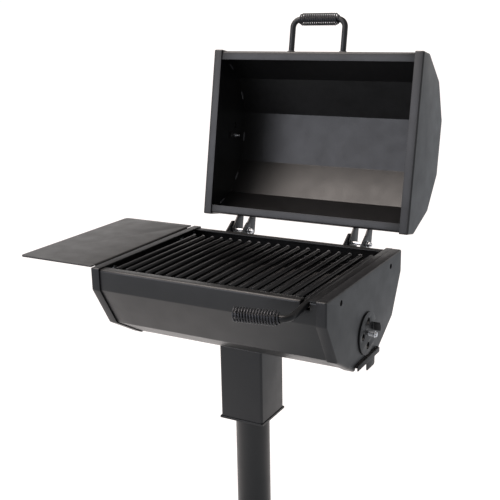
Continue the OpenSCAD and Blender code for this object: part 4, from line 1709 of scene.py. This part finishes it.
@dataclass
class Hinges:
    """The two clevis hinges with their bolts, washers and nuts."""

    thick: float = 4 * MM
    inner_lid: float = 18 * MM
    inner_box: float = 22.3 * MM
    pin: float = 5 * MM
    pin_play: float = 0.1 * MM
    edge: float = 0.6 * MM
    across: float = 14.3 * MM
    head: float = 6.4 * MM
    washer: Triple = (10 * MM, 5.1 * MM, 1.6 * MM)
    nut: float = 8.6 * MM
    nut_bore: float = 4.95 * MM
    past_nut: float = 4 * MM
    under_head: float = 1 * MM
    chamfer: float = 0.8 * MM
    ear_back: Pair = (16 * MM, 21.7 * MM)
    ear_heel: float = -21.2 * MM
    ear_top: Pair = (-6 * MM, 26 * MM)
    ear_foot: Pair = (4.6 * MM, -44 * MM)
    ear_rounds: Triple = (9 * MM, 7 * MM, 14 * MM)
    web: Pair = (5 * MM, 17 * MM)
    web_out: float = 13.3 * MM
    lug: float = 13 * MM
    lug_low: float = 11.9 * MM
    lug_top: float = 46.5 * MM
    lug_round: float = 10 * MM
    lug_steps: int = 16
    weld_room: float = 0.6 * MM
    box_bead: float = 2.2 * MM
    lid_bead: float = 1.6 * MM
    box_seam: tuple[float, ...] = (-10, -22, -34, -46)
    lid_seam: tuple[float, ...] = (8, 18, 28, 36)

    def build(self, shop: Workshop) -> None:
        """Builds the ears on both sides and the hardware through them.

        Args:
            shop: the workshop that adds the pieces.
        """
        at = HEAD @ PIN
        row = Row(2, (-PLAN.hinge_at, 0, 0), (2 * PLAN.hinge_at, 0, 0))
        outer = self.inner_box + self.thick
        wide, bore, washer_thick = self.washer
        seat = outer + washer_thick
        shank = rod(self.pin, -outer - self.under_head, seat + self.nut + self.past_nut, self.chamfer)
        bolt = shank + hexagon(self.across, -outer, -outer - self.head, both=False)
        nut = hexagon(self.across, seat, seat + self.nut, self.nut_bore)
        shop.add_row("hinge_clevis", self.box_ears().placed(at), PLATE_COAT_PAINTED_COOL_LIGHT, row, "head", "firebox_ears")
        shop.add_row("hinge_lugs", self.lid_ears().placed(LID @ PIN), LID_COAT, row, "lid", "lid_ears")
        shop.add_row("hinge_bolt", bolt.placed(at), ZINC, row, "head", "hinge_bolts")
        ring = washer(wide, bore, outer, seat)
        shop.add_row("hinge_washer", ring.placed(at), ZINC, row, "head", "hinge_washers")
        shop.add_row("hinge_nut", nut.placed(at), ZINC, row, "head", "hinge_nuts")
        seams = self.seams(HEAD, outer, self.box_seam)
        shop.welds("hinge_welds", seams, "head", self.box_bead, seed=4.0)
        seams = self.seams(LID, self.inner_lid + self.thick, self.lid_seam)
        shop.welds("lug_welds", seams, "lid", self.lid_bead, seed=6.0)

    def seams(self, frame: Matrix, outer: float, heights: Sequence[float]) -> list[Loop]:
        """Middle lines of the welds along the ears' outer faces, by heights in millimetres.

        Args:
            frame: frame of the firebox or the lid.
            outer: the ears' outer faces, off the middle.
            heights: the lines' points, in millimetres.

        Returns:
            The lines.
        """
        y = PLAN.wall_y + self.weld_room
        sides = [h * PLAN.hinge_at + s * (outer + self.weld_room) for h in (-1, 1) for s in (-1, 1)]
        return [[frame @ Vector((x, y, z * MM)) for z in heights] for x in sides]

    def pair(self, outline: Loop, inner: float) -> Solid:
        """Two equal ears with the pin's hole, on either side of the hinge's middle."""
        ear = plate(outline, [circle(self.pin + self.pin_play, BOLT_HOLE)], self.thick, self.edge)
        ear = ear.placed(UPRIGHT)
        return ear.placed(shift(inner, 0, 0)) + ear.placed(shift(-inner - self.thick, 0, 0))

    def box_ears(self) -> Solid:
        """The ears on the firebox and the web that stops the open lid, about the pin.

        Returns:
            The ears and the web.
        """
        foot, (high, deep), (back, shoulder) = -PLAN.pin_back, self.ear_foot, self.ear_back
        corners = [(foot, high), self.ear_top, (back, shoulder), (back, self.ear_heel), (foot, deep)]
        outline = fillet(corners, [0, *self.ear_rounds, 0], CORNER_STEPS)
        low, high = self.web
        web = plate(rectangle((-self.inner_box, low), (self.inner_box, high)), [], self.thick)
        stand = Matrix(((1, 0, 0, 0), (0, 0, 1, self.web_out), (0, 1, 0, 0), (0, 0, 0, 1)))
        return self.pair(outline, self.inner_box) + web.placed(turn(-PLAN.lid_open, "X") @ stand)

    def lid_ears(self) -> Solid:
        """The lid's ears about the pin, in the frame of the shut lid.

        Returns:
            The ears.
        """
        radius, foot, top = self.lug, -PLAN.pin_back, self.lug_top
        low = Vector((foot, self.lug_low))
        first = math.atan2(low.y, low.x) + math.acos(radius / low.length)
        corners, radii = [(radius, 0), (radius, top), (foot, top)], [0, self.lug_round, 0]
        crown = fillet(corners, radii, CORNER_STEPS, closed=False)[1:]
        return self.pair([low] + arc(radius, first, math.tau, self.lug_steps) + crown, self.inner_lid)


class DamperKind(Enum):
    """The two dampers, by the name of the body that the disc belongs to."""

    DRAFT = "draft"
    VENT = "vent"


@dataclass
class Damper:
    """A round damper: disc with a folded tab, bolt, spring, washer and nut. +X leads out of the end plate."""

    kind: DamperKind
    radius: float = 53 * MM
    gap: float = 0.3 * MM
    bend: float = 1.6 * MM
    fold: float = 34 * MM
    relief: float = 1.2 * MM
    tab: float = 10.6 * MM
    tab_height: float = 22.7 * MM
    slot: float = 11 * MM
    lean: float = 12.0
    shut: float = 45.0
    edge: float = 0.12 * MM
    tip_steps: int = 5
    rim_steps: int = 90
    screw: float = 2.85 * MM
    screw_ends: Pair = (-21.4 * MM, 22 * MM)
    screw_chamfer: float = 0.5 * MM
    screw_sides: int = 24
    thread: Winding = Winding(32.0, 1.3 * MM, 2.75 * MM, 2.75 * MM, 2.75 * MM, 0.9 * MM, 16, 5)
    thread_start: float = -21 * MM
    across: float = 11.1 * MM
    head_end: float = 26 * MM
    washer_at: float = 20 * MM
    washer_thick: float = 1.6 * MM
    washer_radius: float = 8 * MM
    nut_end: float = -9.0 * MM
    nut_bore: float = 3.1 * MM
    spring: float = 4.7 * MM
    spring_wire: float = 1.6 * MM
    spring_turns: float = 5.0
    spring_play: float = 0.3 * MM
    spring_sides: int = 12

    @property
    def at_draft(self) -> bool:
        """Whether this is the draft damper, at the firebox."""
        return self.kind is DamperKind.DRAFT

    def build(self, shop: Workshop) -> None:
        """Builds the damper's five pieces.

        Args:
            shop: the workshop that adds the pieces.
        """
        name = self.kind.value
        at, holder, coat = (DRAFT, "head", PLATE_COAT_PAINTED_COOL_LIGHT) if self.at_draft else (VENT, "lid", LID_COAT)
        shop.add(f"{name}_plate", self.disc().placed(at), coat, name, f"{name}_disc")
        seat = self.washer_at + self.washer_thick
        shank = rod(self.screw, *self.screw_ends, self.screw_chamfer, self.screw_sides)
        head = hexagon(self.across, seat, self.head_end, both=False)
        thread = shop.wound("thread", at @ shift(self.thread_start, 0, 0) @ turn(90, "Y"), ZINC, self.thread)
        bolt = meshes_joined("bolt", [(shank + head).placed(at).mesh("shank"), thread])
        shop.add(f"{name}_screw", bolt, ZINC, holder, f"{name}_bolt")
        ring = washer(self.washer_radius, PLAN.damper_hole, self.washer_at, seat)
        shop.add(f"{name}_ring", ring.placed(at), ZINC, holder, f"{name}_washer")
        nut = hexagon(self.across, -PLAN.sheet, self.nut_end, self.nut_bore)
        shop.add(f"{name}_hex", nut.placed(at), ZINC, holder, f"{name}_nut")
        face, wire, turns = self.gap + PLAN.sheet, self.spring_wire, self.spring_turns
        room = self.washer_at - face - 2 * self.spring_play - wire
        radii, sides = [self.spring] * 3, self.spring_sides
        winding = Winding(turns, room / turns, *radii, wire, sides=sides)
        matrix = at @ shift(face + self.spring_play + wire / 2, 0, 0) @ turn(90, "Y")
        shop.add_coil(f"{name}_coil", matrix, ZINC, winding, holder, f"{name}_spring")

    def disc(self) -> Solid:
        """The disc with air holes, its slit edge folded out as the tab.

        Returns:
            The disc, in the damper's frame.
        """
        start = self.fold - self.bend
        length = self.tab_height - self.gap - PLAN.sheet - self.bend
        end = start + math.pi / 2 * (self.bend + PLAN.sheet / 2) + length
        shares = [k / self.tip_steps - 1 for k in range(2 * self.tip_steps + 1)]
        tip = [Vector((end - self.relief * share ** 2, self.tab * share)) for share in shares]
        side = math.asin(self.slot / self.radius)
        root = start - self.relief
        outline = tip + [Vector((root, self.tab)), Vector((root, self.slot))]
        outline += arc(self.radius, side, math.tau - side, self.rim_steps)
        outline += [Vector((root, -self.slot)), Vector((root, -self.tab))]
        turns = [math.radians(quarter * 90 - self.lean) for quarter in (1, 2, 3)]
        centres = [(PLAN.air_circle * math.cos(a), PLAN.air_circle * math.sin(a)) for a in turns]
        holes = [circle(PLAN.air_hole, AIR_HOLE, centre) for centre in centres]
        holes.append(circle(PLAN.damper_hole, SMALL_HOLE))
        flat = plate(outline, holes, PLAN.sheet, self.edge).placed(shift(0, 0, self.gap))
        folded = bent(flat, start, self.bend, PLAN.sheet, lambda p: abs(p.y) < (self.tab + self.slot) / 2)
        return folded.placed(turn(self.lean + (0 if self.at_draft else self.shut), "X") @ UPRIGHT)


@dataclass
class Shelf:
    """The folded shelf beside the firebox, with its bolts."""

    width: float = 0.231
    depth: float = 0.460
    shift: float = 5 * MM
    rise: float = 3 * MM
    corner: float = 12 * MM
    flange: float = 45 * MM
    flange_corner: float = 4 * MM
    inset: float = 20 * MM
    bend: float = 2.4 * MM
    slit: float = 1.5 * MM
    slit_corner: float = 1 * MM
    cap: float = 13.5 * MM
    cap_rise: float = 6 * MM
    cap_foot: float = 0.97
    cap_tip: float = 0.02
    cap_steps: int = 10
    cap_sides: int = 40
    chamfer: float = 0.8 * MM
    bolt: float = 6 * MM
    sink: float = 0.5 * MM
    past_nut: float = 4 * MM
    across: float = 19 * MM
    nut: float = 10.4 * MM
    nut_bore: float = 5.95 * MM
    body: str = "head"

    def build(self, shop: Workshop) -> None:
        """Builds the shelf, its two carriage bolts and their nuts.

        Args:
            shop: the workshop that adds the pieces.
        """
        shop.add("shelf_sheet", self.sheet(), SHELF_COAT, self.body, "shelf")
        face, inside = -PLAN.half - PLAN.sheet, -PLAN.half + PLAN.sheet
        dome_radius = (self.cap ** 2 + self.cap_rise ** 2) / (2 * self.cap_rise)
        middle, tip = face + dome_radius - self.cap_rise, self.cap_tip
        dome = arc(dome_radius, math.asin(self.cap / dome_radius) + tip, tip, self.cap_steps)
        profile = [(face, self.cap * self.cap_foot)] + [(middle - p.x, p.y) for p in dome]
        head = lathe(profile, self.cap_sides)
        shank = rod(self.bolt, face - self.sink, inside + self.nut + self.past_nut, self.chamfer)
        nut = hexagon(self.across, inside, inside + self.nut, self.nut_bore)
        row = Row(2, (0, -PLAN.shelf_bolt_y, PLAN.shelf_bolt_z), (0, 2 * PLAN.shelf_bolt_y, 0))
        shop.add_row("shelf_bolt", (head + shank).placed(HEAD), ZINC, row, self.body, "shelf_bolts")
        shop.add_row("shelf_nut", nut.placed(HEAD), ZINC, row, self.body, "shelf_nuts")

    def sheet(self) -> Solid:
        """The sheet, drawn flat with relief slits, then folded down at the firebox.

        Returns:
            The sheet, in place.
        """
        sheet = PLAN.sheet
        start = self.width - sheet - self.bend
        fold_end = start + math.pi / 2 * (self.bend + sheet / 2)
        end = fold_end + self.flange - sheet - self.bend
        wide, slit, root = self.width, self.slit, start - self.slit
        front, back = -self.depth / 2 - self.shift, self.depth / 2 - self.shift
        low, high = front + self.inset, back - self.inset
        corners = [
            (0, front), (wide, front), (wide, low - slit), (root, low - slit), (root, low), (end, low),
            (end, high), (root, high), (root, high + slit), (wide, high + slit), (wide, back), (0, back),
        ]
        half = [self.corner, self.slit_corner, self.slit_corner, 0, 0, self.flange_corner]
        outline = fillet(corners, half + half[::-1], CORNER_STEPS)
        at = fold_end + self.rise - PLAN.shelf_bolt_z - sheet - self.bend
        holes = [circle(PLAN.bolt_hole, BOLT_HOLE, (at, y)) for y in (-PLAN.shelf_bolt_y, PLAN.shelf_bolt_y)]
        flat = plate(outline, holes, sheet)
        folded = bent(flat, start, self.bend, sheet, lambda p: low - slit / 2 < p.y < high + slit / 2)
        return folded.placed(HEAD @ shift(-PLAN.half - self.width, 0, self.rise) @ flip(UP))


@dataclass
class AshTray:
    """The ash tray that slides out of the draft end."""

    start: float = -309.2 * MM
    end: float = 323 * MM
    half: float = 70.99 * MM
    bottom: float = 652.18 * MM
    top: float = 658.18 * MM
    front_bottom: float = 645.1 * MM
    tab_bottom: float = 625.1 * MM
    tab_middle: float = 12 * MM
    tab_half: float = 26 * MM
    sheet: float = 2 * MM
    corner: float = 4 * MM
    least_corner: float = 0.5 * MM
    edge: float = 0.4 * MM
    foot: Pair = (2.2 * MM, 0.6 * MM)
    inner_foot: float = 1.2 * MM
    front_rounds: tuple[float, ...] = (1.5 * MM, 1.5 * MM, 3 * MM, 3 * MM, 6 * MM, 6 * MM, 3 * MM, 3 * MM)
    front_steps: int = 6
    pan_steps: int = 5
    body: str = "tray"

    def ring(self, grow: float, z: float) -> Loop:
        """The tray's rectangle with rounded corners, moved out by a distance, at a height."""
        low, high = (self.start - grow, -self.half - grow), (self.end - self.sheet + grow, self.half + grow)
        corner = max(self.least_corner, self.corner + grow)
        return at_level(rectangle(low, high, corner, self.pan_steps), z)

    def build(self, shop: Workshop) -> None:
        """Builds the pan, and the front plate with its pull tab.

        Args:
            shop: the workshop that adds the pieces.
        """
        sheet, edge, low, top = self.sheet, self.edge, self.bottom, self.top
        (wide, small), inner = self.foot, self.inner_foot
        steps = [(-wide, low), (-small, low + small), (0, low + wide), (0, top - edge), (-edge, top)]
        steps += [(-sheet + edge, top), (-sheet, top - edge)]
        steps += [(-sheet, low + sheet + inner), (-sheet - inner, low + sheet)]
        pan = loft([self.ring(grow, z) for grow, z in steps])
        half, low, drop = self.half, self.front_bottom, self.tab_bottom
        left, right = self.tab_middle - self.tab_half, self.tab_middle + self.tab_half
        corners = [(half, top), (-half, top), (-half, low), (left, low)]
        corners += [(left, drop), (right, drop), (right, low), (half, low)]
        front = plate(fillet(corners, self.front_rounds, self.front_steps), [], sheet, edge)
        front = front.placed(shift(self.end - sheet, 0, 0) @ UPRIGHT)
        shop.add("ash_pan", pan + front, TRAY_COAT, self.body, "ash_tray")


# Camera, light and floor

Stops = tuple[tuple[float, Triple], ...]
SKY_TOP = (0.27, 0.265, 0.26)
SKY_FRONT: Stops = (
    (0.0, (0.72, 0.73, 0.75)), (0.25, (0.62, 0.64, 0.67)), (0.5, (0.36, 0.365, 0.38)), (1.0, SKY_TOP),
)
SKY_BACK: Stops = (
    (0.0, (1.3, 1.25, 1.22)), (0.29, (1.2, 1.15, 1.12)), (0.40, (0.42, 0.40, 0.395)), (1.0, SKY_TOP),
)
# Glow of the floor, from its greyest, in the painted shadow and at the front and right, to its palest
FLOOR_TONES: Stops = ((0.0, (0.50, 0.525, 0.56)), (0.5, (0.66, 0.665, 0.675)), (1.0, (1.06, 1.0, 0.98)))


@dataclass(frozen=True)
class Lamp:
    """One soft rectangular lamp."""

    name: str
    place: Triple
    aim: Triple
    size: Pair
    power: float
    color: Triple

    def build(self) -> None:
        """Adds the lamp, hidden from the camera."""
        data = bpy.data.lights.new(self.name, "AREA")
        data.shape = "RECTANGLE"
        data.size, data.size_y = self.size
        data.energy = self.power
        data.color = self.color
        obj = bpy.data.objects.new(self.name, data)
        lead = Vector(self.aim) - Vector(self.place)
        obj.matrix_world = Matrix.Translation(self.place) @ lead.to_track_quat("-Z", "Y").to_matrix().to_4x4()
        obj.visible_camera = False
        bpy.context.scene.collection.objects.link(obj)
        obj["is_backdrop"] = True


@dataclass
class Studio:
    """Camera, lamps, sky and the pale floor."""

    lens: float = 63.35
    sensor: float = 36.0
    view_end: float = 200.0
    position: Triple = (1.0327, -1.8596, 1.4722)
    azimuth: float = -29.013
    pitch: float = -15.399
    roll: float = -1.127
    lamps: tuple[Lamp, ...] = (
        Lamp("front_bank", (-1.31, -2.53, 1.74), (0, 0.3, 1.1), (2.4, 1.8), 35, (0.885, 0.895, 1.0)),
        Lamp("overhead", (-1.0, -0.42, 3.2), (0, 0.1, 0.95), (2.0, 2.0), 84, (1.0, 0.90, 0.84)),
    )
    sky_heights: Pair = (-0.1, 1.0)
    sky_behind: Pair = (0.4, 0.9)
    floor_reach: float = 90.0
    floor_base: float = 0.22
    floor_rough: float = 0.9
    floor_specular: float = 0.1
    view_slope: float = 0.233
    fade_front: Pair = (-2.3, 0.1)
    fade_right: Pair = (1.3, 0.6)
    # painted shadow in the floor's glow: its centre, its reach and how far it dims the glow
    shade_centre: Triple = (0.25, -0.3, 0.0)
    shade_reach: Pair = (0.2, 0.75)
    shade_depth: float = 0.2

    def camera(self) -> None:
        """Sets the camera as the photograph was taken."""
        azimuth, pitch, roll = (math.radians(v) for v in (self.azimuth, self.pitch, self.roll))
        level = math.cos(pitch)
        ahead = Vector((math.sin(azimuth) * level, math.cos(azimuth) * level, math.sin(pitch)))
        right = ahead.cross(UP).normalized()
        right = (right * math.cos(roll) + right.cross(ahead) * math.sin(roll)).normalized()
        data = bpy.data.cameras.new("camera")
        data.lens = self.lens
        data.sensor_width = self.sensor
        data.clip_end = self.view_end
        camera = bpy.data.objects.new("camera", data)
        axes = Matrix((right, right.cross(ahead), -ahead)).transposed().to_4x4()
        camera.matrix_world = Matrix.Translation(self.position) @ axes
        bpy.context.scene.collection.objects.link(camera)
        bpy.context.scene.camera = camera

    def world(self) -> None:
        """Sets the soft sky: pale at the horizon, plain above, and paler behind the object than in front."""
        world = bpy.data.worlds.new("studio")
        world.use_nodes = True
        bpy.context.scene.world = world
        sky = Nodes(world.node_tree)
        coords = sky.node("ShaderNodeTexCoord").outputs["Generated"]
        place = sky.node("ShaderNodeSeparateXYZ", {0: coords}).outputs
        height = sky.mapped(place["Z"], self.sky_heights)
        behind = sky.mapped(place["Y"], self.sky_behind)
        color = sky.mix(behind, sky.ramp(height, SKY_FRONT), sky.ramp(height, SKY_BACK))
        back = sky.node("ShaderNodeBackground", {"Color": color})
        sky.node("ShaderNodeOutputWorld", {"Surface": back.outputs[0]})

    def floor_material(self) -> bpy.types.Material:
        """The floor's material: a pale glow, a little greyer in front of the object and at the right, with a
        painted shadow close by.

        Returns:
            The material.
        """
        tree = Shading("floor")
        place = tree.node("ShaderNodeSeparateXYZ", {0: tree.place}).outputs
        across = tree.math("MULTIPLY_ADD", place["Y"], self.view_slope, place["X"])
        away = tree.node("ShaderNodeVectorMath", {0: tree.place, 1: self.shade_centre}, operation="DISTANCE")
        front = tree.mapped(place["Y"], self.fade_front, smooth=True)
        right = tree.mapped(across, self.fade_right, smooth=True)
        # painted shadow: the glow dims towards shade_centre
        shade = tree.mapped(away.outputs["Value"], self.shade_reach, (self.shade_depth, 1.0), smooth=True)
        level = tree.math("MULTIPLY", tree.math("MULTIPLY", front, right), shade)
        return tree.done({
            "Base Color": (*[self.floor_base] * 3, 1.0), "Roughness": self.floor_rough,
            "Specular IOR Level": self.floor_specular, "Emission Strength": 1.0,
            "Emission Color": tree.ramp(level, FLOOR_TONES),
        })

    def floor(self) -> None:
        """Adds the floor."""
        reach = self.floor_reach
        mesh = bpy.data.meshes.new("floor")
        corners = [(-reach, -reach, 0), (reach, -reach, 0), (reach, reach, 0), (-reach, reach, 0)]
        mesh.from_pydata(corners, [], [(0, 1, 2, 3)])
        mesh.materials.append(self.floor_material())
        obj = bpy.data.objects.new("floor", mesh)
        bpy.context.scene.collection.objects.link(obj)
        obj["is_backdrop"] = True

    def build(self) -> None:
        """Builds camera, sky, floor and lamps."""
        bpy.context.scene.view_settings.view_transform = "Standard"
        self.camera()
        self.world()
        self.floor()
        for lamp in self.lamps:
            lamp.build()


def keep_model_pieces(shop: Workshop, nodes: dict[str, bpy.types.Object]) -> None:
    """Dresses the CAD nodes that show as they are.

    Args:
        shop: the workshop that dresses them.
        nodes: the CAD nodes by name.
    """
    for name in ("post_cap", "sleeve_bearing", "sleeve_guides", "grate_rails", "grate_keepers"):
        shop.keep(nodes[name], DARK_COAT)


def note_sizes(sizes: dict[str, list[list[float]]], name: str) -> None:
    """Args:
        sizes: the corners noted so far, by name.
        name: the name of this pair.
    """
    low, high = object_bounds()
    sizes[name] = [list(low), list(high)]


def main() -> None:
    """Builds the whole scene."""
    logging.basicConfig(level=logging.INFO, format="%(message)s")
    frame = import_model()
    sizes: dict[str, list[list[float]]] = {}
    note_sizes(sizes, "model")
    shop = Workshop()
    dampers = [Damper(kind) for kind in DamperKind]
    for piece in (Post(), Sleeve(), Firebox(), Lid(), Grate(), Hinges(), *dampers, Shelf(), AshTray()):
        piece.build(shop)
    keep_model_pieces(shop, frame["nodes"])
    Studio().build()
    note_sizes(sizes, "shown")
    log.info("%d pieces", len(shop.made))


if __name__ == "__main__":
    main()
